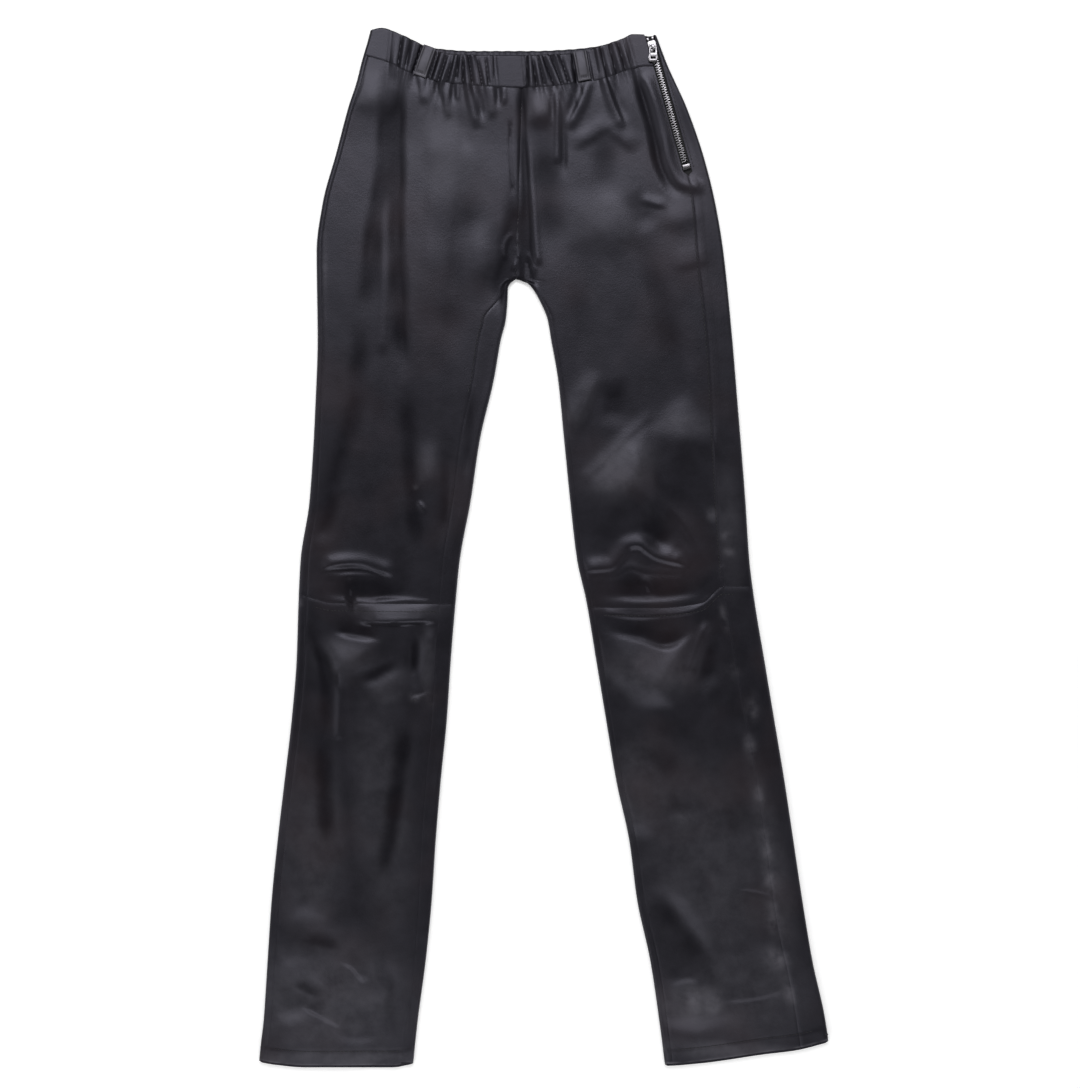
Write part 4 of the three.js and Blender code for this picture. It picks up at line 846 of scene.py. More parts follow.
def nappaLeather():
    # chrome-tanned lamb nappa, drum dyed black, aniline finish: a soft low gloss, mottled by handling; its greying and
    # pale marks also hold painted highlights, and its gloss drops in the folds as painted shade
    made, tree, shader = newMaterial("blackNappaLeather")
    look = leatherLook
    place = node(tree, "ShaderNodeTexCoord").outputs["Object"]
    mottle = node(tree, "ShaderNodeTexNoise", {"Scale": 38.0, "Detail": 5.0, "Roughness": 0.62}, {"Vector": place})
    tone = node(tree, "ShaderNodeValToRGB", None, {"Fac": mottle.outputs["Fac"]})
    for element, position, colour in zip(tone.color_ramp.elements, (0.35, 0.7), (look["dark"], look["light"])):
        element.position = position
        element.color = linear(colour)
    # greying by bloom: partly handling, partly painted highlight on lit planes, with painted shade where it is kept out
    # of the creases
    bloom = node(tree, "ShaderNodeAttribute", {"attribute_name": "bloom"})
    cloud = node(tree, "ShaderNodeTexNoise", {"Scale": 52.0, "Detail": 5.0, "Roughness": 0.6}, {"Vector": place})
    cloudShare = node(tree, "ShaderNodeMapRange", {"From Min": 0.3, "From Max": 0.7, "To Min": 0.4, "To Max": 1.4},
                      {"Value": cloud.outputs["Fac"]})
    greyShare = product(tree, bloom.outputs["Fac"], cloudShare.outputs["Result"])
    greyed = blend(tree, greyShare, tone.outputs["Color"], look["greyed"])
    thin = node(tree, "ShaderNodeTexNoise", {"Scale": 11.0, "Detail": 2.0}, {"Vector": place})
    thinShare = node(tree, "ShaderNodeMapRange", {"From Min": 0.5, "From Max": 0.72, "To Max": 0.3},
                     {"Value": thin.outputs["Fac"]})
    greyed = blend(tree, thinShare.outputs["Result"], greyed, look["brown"])
    # pale marks: rubbed wear and painted highlight spots, broken into flecks
    wornAndHighlit = node(tree, "ShaderNodeAttribute", {"attribute_name": "wear"})
    flecks = node(tree, "ShaderNodeTexNoise", {"Scale": 70.0, "Detail": 4.0, "Roughness": 0.55}, {"Vector": place})
    broken = node(tree, "ShaderNodeMapRange", {"From Min": 0.34, "From Max": 0.66, "To Max": 0.85},
                  {"Value": flecks.outputs["Fac"]})
    colour = blend(tree, product(tree, wornAndHighlit.outputs["Fac"], broken.outputs["Result"]), greyed, look["rubbedAndHighlight"])
    tree.links.new(colour, shader.inputs["Base Color"])
    base = node(tree, "ShaderNodeMapRange", {"To Min": look["smoothest"], "To Max": look["roughest"]},
                {"Value": mottle.outputs["Fac"]})
    dulled = node(tree, "ShaderNodeMath", {"operation": "MULTIPLY_ADD"})
    dulled.inputs[1].default_value = look["duller"]
    tree.links.new(greyShare, dulled.inputs[0])
    tree.links.new(base.outputs["Result"], dulled.inputs[2])
    tree.links.new(dulled.outputs[0], shader.inputs["Roughness"])
    # painted shade: the specular level drops in the folds so that the creases read darker; on the waistband the same
    # attribute holds its duller finish
    fold = node(tree, "ShaderNodeAttribute", {"attribute_name": "fold"})
    gloss = node(tree, "ShaderNodeMapRange", {"To Min": look["gloss"], "To Max": look["foldShadeGloss"]},
                 {"Value": fold.outputs["Fac"]})
    tree.links.new(gloss.outputs["Result"], shader.inputs["Specular IOR Level"])
    grain = node(tree, "ShaderNodeTexVoronoi", {"Scale": 1000 / look["grain"]}, {"Vector": place})
    pores = node(tree, "ShaderNodeTexNoise", {"Scale": 1000 / look["pore"], "Detail": 2.0}, {"Vector": place})
    coarse = node(tree, "ShaderNodeTexNoise", {"Scale": 160.0, "Detail": 3.0}, {"Vector": place})
    first = node(tree, "ShaderNodeBump", {"Strength": 0.12, "Distance": 0.0004}, {"Height": grain.outputs["Distance"]})
    second = node(tree, "ShaderNodeBump", {"Strength": 0.08, "Distance": 0.0002},
                  {"Height": pores.outputs["Fac"], "Normal": first.outputs[0]})
    third = node(tree, "ShaderNodeBump", {"Strength": 0.08, "Distance": 0.0010},
                 {"Height": coarse.outputs["Fac"], "Normal": second.outputs[0]})
    tree.links.new(third.outputs[0], shader.inputs["Normal"])
    shader.inputs["IOR"].default_value = 1.5
    shader.inputs["Specular Tint"].default_value = linear("#e8e6fb")
    return made


def wovenTape():
    # polyester zip tape, twill woven, dyed black: matte
    made, tree, shader = newMaterial("blackPolyesterTape")
    shader.inputs["Base Color"].default_value = linear("#19191c")
    shader.inputs["Roughness"].default_value = 0.85
    place = node(tree, "ShaderNodeTexCoord").outputs["Object"]
    weave = node(tree, "ShaderNodeTexWave", {"Scale": 260.0, "Distortion": 0.4, "bands_direction": "DIAGONAL"},
                 {"Vector": place})
    bump = node(tree, "ShaderNodeBump", {"Strength": 0.4, "Distance": 0.0003}, {"Height": weave.outputs["Fac"]})
    tree.links.new(bump.outputs[0], shader.inputs["Normal"])
    return made


def nickelPlate(name, colour):
    # nickel-plated brass, tumbled bright: a neutral grey mirror with fine handling marks
    made, tree, shader = newMaterial(name)
    shader.inputs["Base Color"].default_value = linear(colour)
    shader.inputs["Metallic"].default_value = 1.0
    place = node(tree, "ShaderNodeTexCoord").outputs["Object"]
    marks = node(tree, "ShaderNodeTexNoise", {"Scale": 900.0, "Detail": 4.0}, {"Vector": place})
    rough = node(tree, "ShaderNodeMapRange", {"To Min": 0.16, "To Max": 0.32}, {"Value": marks.outputs["Fac"]})
    tree.links.new(rough.outputs["Result"], shader.inputs["Roughness"])
    return made


def spunThread():
    # bonded polyester thread, waxed black: two plies, slightly glossier than the leather
    made, tree, shader = newMaterial("blackPolyesterThread")
    shader.inputs["Base Color"].default_value = linear("#1d1c20")
    shader.inputs["Roughness"].default_value = 0.45
    place = node(tree, "ShaderNodeTexCoord").outputs["Object"]
    plies = node(tree, "ShaderNodeTexWave", {"Scale": 800.0, "bands_direction": "DIAGONAL"}, {"Vector": place})
    bump = node(tree, "ShaderNodeBump", {"Strength": 0.5, "Distance": 0.0001}, {"Height": plies.outputs["Fac"]})
    tree.links.new(bump.outputs[0], shader.inputs["Normal"])
    return made


leather = nappaLeather()
tapeCloth = wovenTape()
nickel = nickelPlate("nickelPlatedBrass", "#7c7a7e")
duskyNickel = nickelPlate("duskyNickelPlate", "#aeacb1")
thread = spunThread()
print("materials made")


camera = {"height": 1.6, "sensor": 36.0, "longSide": 1.088, "x": -0.0035, "y": 0.0045}


def makeCamera():
    lens = bpy.data.cameras.new("camera")
    lens.sensor_width = camera["sensor"]
    lens.lens = camera["sensor"] * camera["height"] / camera["longSide"]
    eye = bpy.data.objects.new("camera", lens)
    eye.location = (camera["x"], camera["y"], camera["height"])
    scene.collection.objects.link(eye)
    scene.camera = eye


lights = [
    # name, place, aim, width, length, watts
    ("waistWindow", (-0.1, 1.3, 1.6), (0.0, 0.15, 0.0), 1.7, 0.6, 25.0),
    ("hemWindow", (-0.1, -1.5, 1.0), (0.0, -0.4, 0.0), 2.4, 0.8, 14.0),
    ("rightWall", (2.2, 0.0, 1.2), (0.0, 0.0, 0.0), 1.2, 2.4, 7.0),
    ("leftWall", (-2.2, 0.0, 1.2), (0.0, 0.0, 0.0), 1.2, 2.4, 9.0),
]


def makeLights():
    for name, place, aim, width, length, watts in lights:
        lamp = bpy.data.lights.new(name, "AREA")
        lamp.shape = "RECTANGLE"
        lamp.size, lamp.size_y = width, length
        lamp.energy = watts
        holder = bpy.data.objects.new(name, lamp)
        holder.location = place
        holder.rotation_euler = (Vector(aim) - Vector(place)).to_track_quat("-Z", "Y").to_euler()
        scene.collection.objects.link(holder)
    world = bpy.data.worlds.new("studio")
    scene.world = world
    world.use_nodes = True
    background = world.node_tree.nodes["Background"]
    background.inputs["Color"].default_value = linear("#ffffff")
    background.inputs["Strength"].default_value = 0.1
    scene.view_settings.view_transform = "Standard"


def makeFloor():
    made, tree, shader = newMaterial("paleStudioPaper")
    shader.inputs["Base Color"].default_value = linear("#f6f6f6")
    shader.inputs["Roughness"].default_value = 0.9
    shader.inputs["Emission Color"].default_value = linear("#ffffff")
    shader.inputs["Emission Strength"].default_value = 0.35
    half, gap = 4.0, 0.0003
    mesh = bpy.data.meshes.new("floor")
    corners = [(-half, -half, -gap), (half, -half, -gap), (half, half, -gap), (-half, half, -gap)]
    mesh.from_pydata(corners, [], [(0, 1, 2, 3)])
    mesh.materials.append(made)
    floor = bpy.data.objects.new("floor", mesh)
    scene.collection.objects.link(floor)
    return floor


makeCamera()
makeLights()
floor = makeFloor()
print("camera, lights and floor placed")


panels = {
    "rows": {"front": 1.7, "back": 2.4},  # mm between them
    "thigh": (470.0, -56.0),
    "shin": (-56.0, -518.0),
    "frontColumns": {"thigh": 118, "shin": 86},
}


def panelShape(side, part, face):
    top, bottom = panels[part]
    levels = np.linspace(top, bottom, int((top - bottom) / panels["rows"][face]))
    gap = garment["seamGap"]
    shift = gap / 2 if part == "thigh" else -gap / 2

    def topAt(x):
        if part == "thigh":
            return curve(bandSeam, "y", x) - gap
        return curve(kneeSeam, "y", x) + shift

    def bottomAt(x, lift):
        if part == "thigh":
            return curve(kneeSeam, "y", x) + shift
        return curve(backHem, "y", x) + lift

    lift = garment["hemLift"]
    if face == "front":
        columns = np.linspace(0, 1, panels["frontColumns"][part] + 1)
        return [gridRows(levels, columns, lambda y, u: frontPoint(side, y, u), topAt, lambda x: bottomAt(x, lift))]
    steps = np.arange(sum(backParts[k] for k in ("flap", "outerArc", "under", "lowerArc")) + 1.0)
    underFrom = backParts["flap"] + backParts["outerArc"]
    underTo = underFrom + backParts["under"]
    before = (underFrom - steps) / backParts["outerArc"]
    after = (steps - underTo) / (2 * backParts["lowerArc"])
    lifts = lift * ease(np.maximum(before, after))
    main = gridRows(levels, steps, lambda y, s: backPoint(side, y, s), topAt, lambda x: bottomAt(x, lifts))
    rows = main[:, -1, 1] < garment["crotchY"]
    edgeRow = main[rows][:, -1, 1]
    u = np.linspace(0, 1, backParts["upperArc"] + backParts["innerFlap"] + 1)
    bend = 1 - ease((edgeRow - levels[-1]) / 40)
    rise = (lift - lifts[-1]) * ease(2 * u) if part == "shin" else 0 * u
    y = edgeRow[:, None] + bend[:, None] * rise
    wrap = innerWrap(side, y, np.broadcast_to(u, y.shape))
    wrap[:, 0] = main[rows][:, -1]
    return [main, wrap]


def makePanels():
    made = {}
    for side, word in ((-1, "right"), (1, "left")):
        for part in ("thigh", "shin"):
            for face in ("back", "front"):
                name = f"{face}_{part}_{word}"
                grids = panelShape(side, part, face)
                turned = (side < 0) == (face == "front")
                piece = meshPiece(name + "_leather", grids, not turned, leather, garment["leather"])
                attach(piece, "garment")
                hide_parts(name)
                markWearAndPaintedLight(piece)
                made[name] = piece
    return made


panelPieces = makePanels()
print("leg panels laid")

band = {
    "columns": {"front": 350, "arc": 14, "back": 156, "end": 18},
    "rows": 28,
    "backWave": 1.1,  # mm that the elastic draws the back strip in, between its flat crests
    "backPitch": 11.2,
    "edgeRound": 1.3,
    "dull": 0.24,  # less polished than the legs
    "patch": (-47.0, -17.5, 0.2),  # the stitched flat in the middle: from, to, how much duller
}
bandRadius = (garment["bandHigh"] - garment["bandLow"]) / 2
# Sharp creases across the front of the strip: where each starts and ends, 0 at its top, 1 at the seam.
bandCreases = table("x lean from to depth halfWidth", [
    (-143.0, -4, 0.1, 1.0, 0.6, 0.9), (-135.0, -6, 0.0, 0.8, 0.6, 0.9), (-126.0, -8, 0.2, 1.0, 0.5, 0.8),
    (-108.5, -9, 0.0, 1.0, 0.8, 1.0), (-100.7, -9, 0.1, 1.0, 0.9, 1.0), (-93.0, -8, 0.3, 1.0, 0.7, 0.8),
    (-86.0, -4, 0.0, 0.8, 0.7, 0.9), (-80.0, 0, 0.2, 1.0, 0.9, 0.9), (-72.5, 4, 0.0, 0.9, 0.8, 1.0),
    (-63.5, 6, 0.2, 1.0, 0.7, 0.9), (-56.0, 4, 0.1, 0.9, 0.5, 0.9), (-49.0, 1, 0.0, 0.7, 0.4, 1.2),
    (-16.5, 0, 0.0, 1.0, 1.3, 1.0), (-9.0, 5, 0.2, 1.0, 0.7, 0.9), (-2.0, 8, 0.0, 0.9, 0.8, 1.0),
    (5.0, 12, 0.1, 1.0, 0.9, 0.9), (13.0, 12, 0.0, 1.0, 0.8, 1.0), (21.0, 9, 0.2, 0.9, 0.7, 0.9),
    (29.0, 6, 0.3, 1.0, 0.5, 0.9), (52.5, 6, 0.0, 0.8, 0.5, 0.9), (60.0, 7, 0.1, 1.0, 0.8, 0.9),
    (69.0, 8, 0.0, 1.0, 0.8, 1.0), (77.5, 9, 0.1, 1.0, 0.7, 0.8),
    # pressed in beside the belt loops
    (-125.9, -10, 0.0, 1.0, 1.5, 1.3), (-110.7, -10, 0.0, 1.0, 1.3, 1.2),
    (30.8, 5, 0.0, 1.0, 1.5, 1.3), (46.0, 5, 0.0, 1.0, 1.3, 1.2),
])


def bandPoint(y, column):
    # the strip's path at one height: zip, front, right edge, back, left edge, other side of the zip
    count = band["columns"]
    middle = garment["bandLow"] + bandRadius
    half = zipLine["opening"] / 2 / zipAcross[0]
    right, left = outerX(-1, y) + bandRadius, outerX(1, y) - bandRadius
    front = mix(zipX(y) - half, right, column / count["front"])
    turn = np.pi * np.clip((column - count["front"]) / count["arc"], 0, 1)
    back = np.clip((column - count["front"] - count["arc"]) / count["back"], 0, 1)
    step = (column - count["front"] - count["arc"] - count["back"]) / count["end"]
    reach = zipX(y) + half
    past = np.arcsin(np.clip((reach - left) / bandRadius, 0, 1))
    path = np.clip(step, 0, 1) * ((np.pi - past) * bandRadius + np.maximum(0, left - reach))
    round_ = np.minimum(np.pi - past, path / bandRadius)
    run = np.maximum(0, path - (np.pi - past) * bandRadius)
    parts = [column <= count["front"], turn < np.pi, step <= 0]
    x = np.select(parts, [front, right - bandRadius * np.sin(turn), mix(right, left, back)],
                  left + bandRadius * np.sin(round_) - run)
    z = np.select(parts, [garment["bandHigh"] + 0 * x, middle + bandRadius * np.cos(turn), garment["bandLow"] + 0 * x],
                  middle - bandRadius * np.cos(round_))
    return np.stack([x, y + 0 * x, z], -1)


def creaseAt(x, down):
    # narrow valleys, steep on one side: a bell across each, inside its stretch
    total = np.zeros(np.shape(x))
    for k in range(len(bandCreases["x"])):
        c = {name: bandCreases[name][k] for name in bandCreases}
        away = x - c["x"] - c["lean"] * (down - 0.5)
        width = c["halfWidth"] * (1 + 0.5 * np.tanh(away))
        inside = ease((down - c["from"] + 0.08) / 0.16) * ease((c["to"] + 0.08 - down) / 0.16)
        total -= c["depth"] * inside * bell(away, width)
    return total


def makeBand():
    count = band["columns"]
    columns = np.arange(sum(count.values()) + 1.0)
    backFrom = count["front"] + count["arc"]
    backTo = backFrom + count["back"]
    onBack = np.where(columns < backTo, ease((columns - count["front"]) / count["arc"]),
                      1 - ease((columns - backTo) / count["end"]))
    top = settle(np.full(len(columns), 500.0), lambda y: mix(
        curve(frontTop, "y", bandPoint(y, columns)[:, 0]), curve(backTop, "y", bandPoint(y, columns)[:, 0]), onBack))
    bottom = settle(np.full(len(columns), 470.0), lambda y: curve(bandSeam, "y", bandPoint(y, columns)[:, 0]))
    down = np.linspace(0, 1, band["rows"] + 1)[:, None]
    y = mix(top, bottom, down)
    points = bandPoint(y, np.broadcast_to(columns, y.shape))
    x = points[..., 0]
    onFront = columns <= count["front"]
    nearEdge = ease((columns / count["front"] - 0.004) / 0.02) * ease((1 - columns / count["front"]) / 0.02)
    shaped = gatherAt(x, down) * (0.9 + 0.2 * np.sin(4 * down + x / 7)) + creaseAt(x, down)
    points[..., 2] += np.where(onFront, shaped * nearEdge, 0)
    inBack = (columns > backFrom) & (columns < backTo)
    phase = (x - 2.5 * np.sin(4 * down + x / 30)) / band["backPitch"] * np.pi
    wave = np.cos(phase) ** 4 * ease((columns - backFrom) / 6) * ease((backTo - columns) / 6)
    points[..., 2] += np.where(inBack, band["backWave"] * wave, 0)
    # both long edges turn in over a small round
    for fromEdge, depth in ((down * (top - bottom), 0.5), ((1 - down) * (top - bottom), 0.25)):
        inset = np.clip(fromEdge / band["edgeRound"], 0, 1)
        sink = depth * (1 - np.sqrt(1 - (1 - inset) ** 2))
        points[..., 2] -= np.where(onFront, sink, 0) - np.where(inBack, 0.5 * sink, 0)
    piece = meshPiece("waistband_leather", [points], True, leather, garment["band"])
    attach(piece, "garment")
    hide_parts("waistband")
    markWearAndPaintedLight(piece)
    across = np.empty(len(piece.data.vertices) * 3)
    piece.data.vertices.foreach_get("co", across)
    across = across[::3] / mm
    low, high, duller = band["patch"]
    dull = band["dull"] + duller * ease((across - low) / 1.5) * ease((high - across) / 0.6)
    piece.data.attributes["fold"].data.foreach_set("value", dull)
    return piece


bandPiece = makeBand()
print("waistband gathered")


loops = {
    "width": 12.5,
    "thickness": 2.3,
    "bow": 1.1,
    "front": {"right": ((-113.0, 499.0), (-123.3, 470.0)), "left": ((35.8, 494.5), (41.0, 465.5))},
    "back": {"right": ((-118.0, 500.0), (-118.0, 468.0)), "left": ((38.0, 498.0), (38.0, 466.0))},
    "groove": 0.5,
    "grooveInset": 1.7,
    # greying of the whole strap, partly a painted highlight
    "bloom": 0.9,
}


def loopSection(count):
    # round the strap: a superellipse, with a stitched groove along both sides of its face
    turn = np.linspace(0, 2 * np.pi, count, endpoint=False)
    c, s = np.cos(turn), np.sin(turn)
    w = np.sign(c) * np.abs(c) ** 0.24 * loops["width"] / 2
    h = np.sign(s) * np.abs(s) ** 0.6 * loops["thickness"] / 2
    fromGroove = np.abs(np.abs(w) - loops["width"] / 2 + loops["grooveInset"])
    return w, h - loops["groove"] * bell(fromGroove, 0.5) * (s > 0.3)


def closedTube(name, rings, material, sharp=40):
    # a tube of rings, capped with a fan at both ends
    count, sides = rings.shape[:2]
    j, i = np.meshgrid(np.arange(count - 1), np.arange(sides), indexing="ij")
    a = (j * sides + i).ravel()
    b = (j * sides + (i + 1) % sides).ravel()
    quads = np.stack([a, b, b + sides, a + sides], -1).tolist()
    caps = [list(range(sides))[::-1], [(count - 1) * sides + k for k in range(sides)]]
    mesh = bpy.data.meshes.new(name)
    mesh.from_pydata((rings.reshape(-1, 3) * mm).tolist(), [], quads + caps)
    mesh.materials.append(material)
    piece = bpy.data.objects.new(name, mesh)
    scene.collection.objects.link(piece)
    smooth(piece, sharp)
    return piece


def makeLoop(face, word, ends):
    top, end = np.array(ends)
    length = np.linalg.norm(end - top)
    along = (end - top) / length
    across = np.array([-along[1], along[0]])
    w, h = loopSection(72)
    t = np.linspace(0, 1, 34)
    if face == "front":
        lift = garment["bandHigh"] + garment["solidGap"] + loops["bow"] * np.sin(np.pi * t)
        thick = np.full(34, loops["thickness"])
    else:
        thick = np.full(34, garment["bandLow"] - garment["solidGap"])
        lift = np.zeros(34)
        h = -h
    pinch = np.minimum(ease(t / 0.05), ease((1 - t) / 0.05))
    barAt = (1 - t) * length
    dent = 0.35 * bell(barAt - 3.2, 1.3) if face == "front" else 0 * t
    centre = top + (end - top) * t[:, None]
    tall = thick / loops["thickness"] * (0.8 + 0.2 * pinch)
    z = lift[:, None] + thick[:, None] / 2 + (h * tall[:, None]) * (face == "front" or -1) - dent[:, None] * (h > 0)
    side = w * (0.985 + 0.015 * pinch)[:, None]
    rings = np.stack([centre[:, :1] + across[0] * side, centre[:, 1:] + across[1] * side, z], -1)
    name = f"belt_loop_{face}_{word}"
    piece = closedTube(name + "_strap", rings, leather)
    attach(piece, "garment")
    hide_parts(name)
    markWearAndPaintedLight(piece)
    # partly painted highlight: the strap is greyed all over so that the raised strap reads lighter than the band; its
    # side edges and bar tack are paler still, as wear
    piece.data.attributes["bloom"].data.foreach_set("value", np.full(len(piece.data.vertices), loops["bloom"]))
    rim = 0.95 * ease((np.abs(w) - loops["width"] / 2 + 1.1) / 0.8)[None] * (h > 0)[None]
    tack = 1.0 * bell(barAt - 1.4, 1.2)[:, None] * (h > 0)[None]
    rubbedAndHighlight = np.maximum(0.24, np.maximum(rim, tack))
    piece.data.attributes["wear"].data.foreach_set("value", rubbedAndHighlight.ravel())


for loopFace in ("front", "back"):
    for loopWord, loopEnds in loops[loopFace].items():
        makeLoop(loopFace, loopWord, loopEnds)
print("belt loops sewn on")


def onZip(s, w):
    return (zipLine["top"][0] + zipDown[0] * s + zipAcross[0] * w,
            zipLine["top"][1] + zipDown[1] * s + zipAcross[1] * w)


def tapeTop(s):
    high = garment["bandHigh"] - garment["band"] - garment["solidGap"]
    low = garment["faceHeight"] - garment["leather"] - garment["solidGap"]
    return mix(high, low, ease((s - 36) / 60))


tape = {"from": 0.6, "to": 146.0, "side": 7.5, "topSide": 4.1, "fullFrom": -2.0, "fullOver": 52.0, "rows": 220}


def makeTape():
    # a flat woven strip: a superellipse section carried down the zip
    s = np.linspace(tape["from"], tape["to"], tape["rows"])[:, None]
    right = mix(tape["topSide"], tape["side"], ease((s - tape["fullFrom"]) / tape["fullOver"]))
    turn = np.linspace(0, 2 * np.pi, 64, endpoint=False)[None]
    c, t = np.cos(turn), np.sin(turn)
    w = (right - tape["side"]) / 2 + (right + tape["side"]) / 2 * np.sign(c) * np.abs(c) ** 0.5
    half = zipLine["tapeThickness"] / 2
    z = tapeTop(s) - half + half * np.sign(t) * np.abs(t) ** 0.3 * (1 - 0.08 * np.sin(2.1 * s) ** 2)
    x, y = onZip(s, w)
    rings = np.stack([x + 0 * z, y + 0 * z, z], -1)
    piece = closedTube("zip_tape_cloth", rings, tapeCloth)
    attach(piece, "garment")
    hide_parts("zip_tape")


teeth = {"pitch": 2.5, "from": 17.6, "to": 131.8, "halfWidth": 3.0, "reach": 0.55, "thick": 1.25, "height": 2.2}


def toothShape():
    # one tooth of pressed brass: legs that grip the tape's cord, a rounded head that hooks over it
    outline = np.array([(-3.0, -0.55), (-1.3, -0.62), (-0.3, -0.48), (0.45, -0.3), (0.6, 0.0), (0.45, 0.3),
                        (-0.3, 0.48), (-1.3, 0.62), (-3.0, 0.55)])
    count = len(outline)
    rings = [(outline * 0.86, 0.0), (outline, 0.35), (outline, 1.75), (outline * 0.84, 2.15)]
    points = np.concatenate([np.c_[flat, np.full(count, z)] for flat, z in rings])
    faces = []
    for level in range(3):
        for k in range(count):
            a, b = level * count + k, level * count + (k + 1) % count
            faces.append((a, b, b + count, a + count))
    faces += [tuple(range(count))[::-1], tuple(3 * count + k for k in range(count))]
    return points, faces


def makeTeeth():
    points, faces = toothShape()
    allPoints, allFaces = [], []
    count = int((teeth["to"] - teeth["from"]) / teeth["pitch"])
    for k in range(2 * count):
        side = 1 if k % 2 else -1
        s = teeth["from"] + (k + 0.5) * teeth["pitch"] / 2
        x, y = onZip(s + side * points[:, 1], side * points[:, 0])
        z = points[:, 2] + tapeTop(s) + garment["solidGap"]
        first = len(allPoints) * len(points)
        allPoints.append(np.stack([x, y, z], -1))
        allFaces += [tuple(first + v for v in face) for face in faces]
    mesh = bpy.data.meshes.new("zip_teeth")
    mesh.from_pydata((np.concatenate(allPoints) * mm).tolist(), [], allFaces)
    mesh.materials.append(duskyNickel)
    piece = bpy.data.objects.new("zip_teeth", mesh)
    scene.collection.objects.link(piece)
    recalculate(piece)
    smooth(piece, 40)
    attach(piece, "garment")
    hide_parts("zip_chain")


def recalculate(piece):
    work = bmesh.new()
    work.from_mesh(piece.data)
    bmesh.ops.recalc_face_normals(work, faces=work.faces)
    work.to_mesh(piece.data)
    work.free()


metalParts = [
    # solid, part that it moves with, bevel in mm, plating
    ("zip_slider", "garment", 0.3, nickel),
    ("zip_pull", "pull_tab", 0.25, nickel),
    ("zip_top_stop_right", "garment", 0.35, nickel),
    ("zip_top_stop_left", "garment", 0.35, nickel),
    ("zip_bottom_stop", "garment", 0.5, nickel),
]


def makeMetal(name, part, width, plating):
    # a cast part: the solid's own form with its edges tumbled round
    source = bpy.data.objects[name]
    mesh = source.data.copy()
    mesh.transform(source.matrix_world)
    work = bmesh.new()
    work.from_mesh(mesh)
    bmesh.ops.remove_doubles(work, verts=work.verts, dist=1e-6)
    bmesh.ops.dissolve_limit(work, angle_limit=0.02, verts=work.verts, edges=work.edges)
    work.to_mesh(mesh)
    work.free()
    piece = bpy.data.objects.new(name + "_metal", mesh)
    scene.collection.objects.link(piece)
    bevel = piece.modifiers.new("tumbled", "BEVEL")
    bevel.width = width * mm
    bevel.segments = 3
    bevel.limit_method = "ANGLE"
    bevel.angle_limit = np.radians(32)
    applyModifiers(piece)
    smooth(piece, 38)
    piece.data.materials.clear()
    piece.data.materials.append(plating)
    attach(piece, part)
    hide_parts(name)


makeTeeth()
for metalPart in metalParts:
    makeMetal(*metalPart)
makeTape()
print("zip closed")


stitch = {"length": 2.9, "pitch": 3.7, "radius": 0.3, "raised": 0.12}


def seamLine(x, y):
    # a line of stitches over the front's face
    x, y = np.broadcast_arrays(np.asarray(x, float), np.asarray(y, float))
    return np.stack([x, y, topFace(x, y)], -1)


def resample(line, pitch):
    # points at even steps along a line
    steps = np.linalg.norm(np.diff(line, axis=0), axis=1)
    far = np.r_[0, np.cumsum(steps)]
    at = np.arange(pitch / 2, far[-1] - pitch / 2, pitch / 2)
    return np.stack([np.interp(at, far, line[:, k]) for k in range(3)], -1)


def stitchLines():
    hem = garment["hemLift"] + garment["hemTurn"] - 1.5
    lines = []
    for side in (-1, 1):
        low, high = sorted((outerX(side, -500.0) - side * 12, innerX(side, -500.0) + side * 12))
        x = np.linspace(low, high, 90)
        lines.append(seamLine(x, curve(backHem, "y", x) + hem))
        low, high = sorted((outerX(side, -60.0) - side * 16, innerX(side, -60.0) + side * 14))
        x = np.linspace(low, high, 90)
        lines.append(seamLine(x, curve(kneeSeam, "y", x) - 7.5))
    y = np.linspace(236, 150, 60)
    lines.append(seamLine(innerX(-1, y) - insideInset(-1, y) - 2.2, y))
    y = np.linspace(362, -30, 200)
    lines.append(seamLine(curve(leftOutseam, "x", y) - 2.4, y))
    s = np.linspace(36, zipLength + 1, 70)
    for w in (-7.0, 7.0):
        lines.append(seamLine(*onZip(s, w)))
    return lines


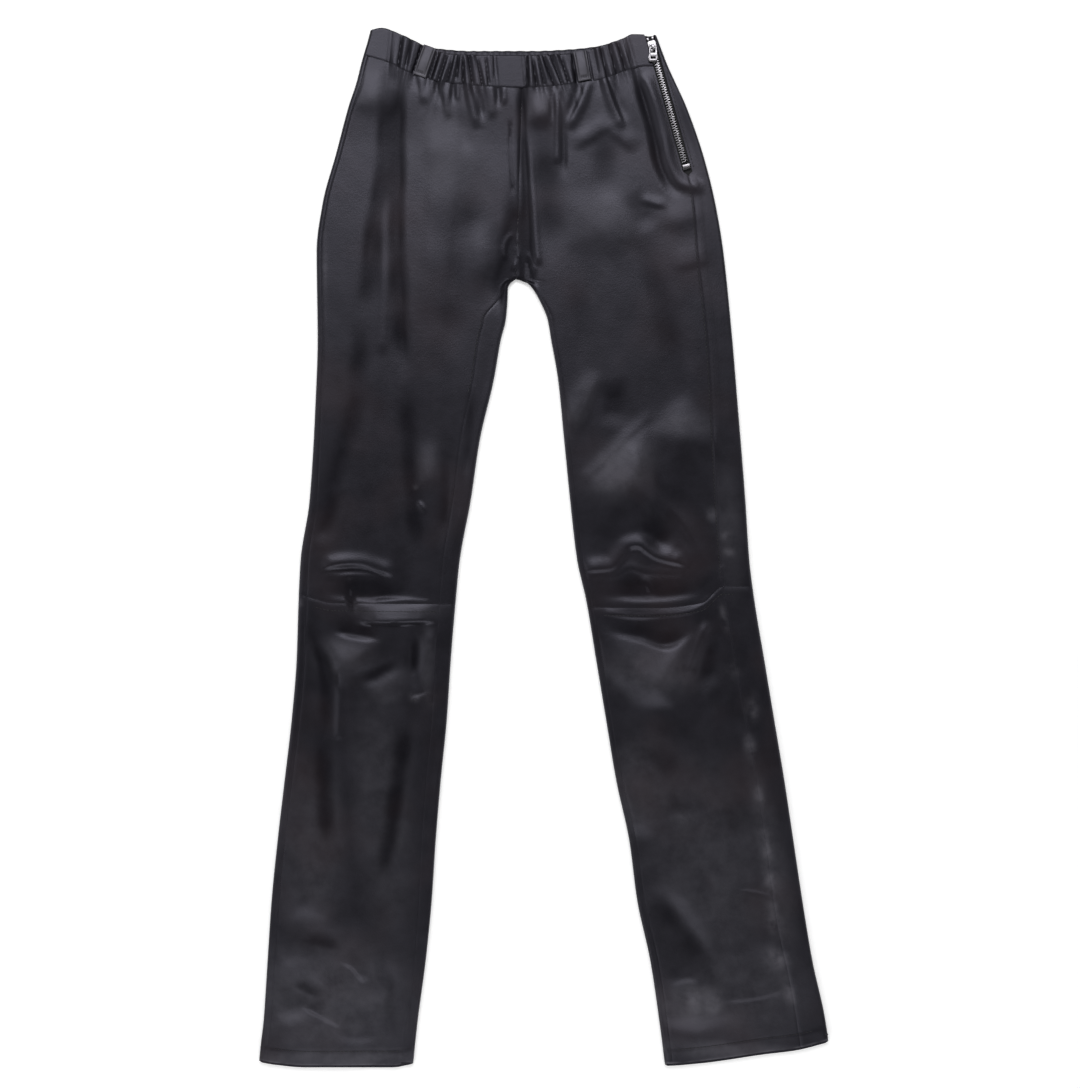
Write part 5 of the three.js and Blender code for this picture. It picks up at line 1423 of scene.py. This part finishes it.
def loopStitches():
    # two rows along each front loop and a bar tack across its lower end
    lines = []
    for ends in loops["front"].values():
        top, end = np.array(ends)
        length = np.linalg.norm(end - top)
        along = (end - top) / length
        across = np.array([-along[1], along[0]])
        high = garment["bandHigh"] + garment["solidGap"] + loops["thickness"]
        inset = loops["width"] / 2 - loops["grooveInset"]
        for w in (-inset, inset):
            t = np.linspace(0.04, 0.86, 30)
            flat = top + (end - top) * t[:, None] + across * w
            lines.append(np.c_[flat, high + loops["bow"] * np.sin(np.pi * t) - loops["groove"]])
        for back in (2.4, 3.5, 4.6):
            w = np.linspace(-inset, inset, 12)[:, None]
            flat = end - along * back + across * w
            rise = loops["bow"] * np.sin(np.pi * (1 - back / length)) - 0.25
            lines.append(np.c_[flat, np.full(12, high + rise)])
    return lines


def sew(name, lines, length, pitch, radius):
    # low capsules, one a stitch, laid along the lines
    sides = 6
    turn = np.linspace(0, 2 * np.pi, sides, endpoint=False)
    stations = [(-0.5, 0.35), (-0.36, 1.0), (0.36, 1.0), (0.5, 0.35)]
    points, faces = [], []
    for line in lines:
        path = resample(line, pitch)
        middle, ahead = path[1:-1:2], path[2::2] - path[:-2:2][:len(path[2::2])]
        for here, way in zip(middle, ahead):
            way = way / np.linalg.norm(way)
            beside = np.cross((0, 0, 1), way)
            beside /= np.linalg.norm(beside)
            up = np.cross(way, beside)
            first = len(points) * 4 * sides
            rings = [here + way * length * a + stitch["raised"] * up
                     + radius * r * (np.cos(turn)[:, None] * beside + np.sin(turn)[:, None] * up) for a, r in stations]
            points.append(np.concatenate(rings))
            for j in range(3):
                for i in range(sides):
                    a, b = first + j * sides + i, first + j * sides + (i + 1) % sides
                    faces.append((a, b, b + sides, a + sides))
            faces.append(tuple(first + i for i in range(sides))[::-1])
            faces.append(tuple(first + 3 * sides + i for i in range(sides)))
    mesh = bpy.data.meshes.new(name)
    mesh.from_pydata((np.concatenate(points) * mm).tolist(), [], faces)
    mesh.materials.append(thread)
    piece = bpy.data.objects.new(name, mesh)
    scene.collection.objects.link(piece)
    recalculate(piece)
    smooth(piece, 60)
    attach(piece, "garment")
    print(name, len(points))


sew("seam_stitches", stitchLines(), stitch["length"], stitch["pitch"], stitch["radius"])
sew("loop_stitches", loopStitches(), 1.6, 2.1, 0.24)
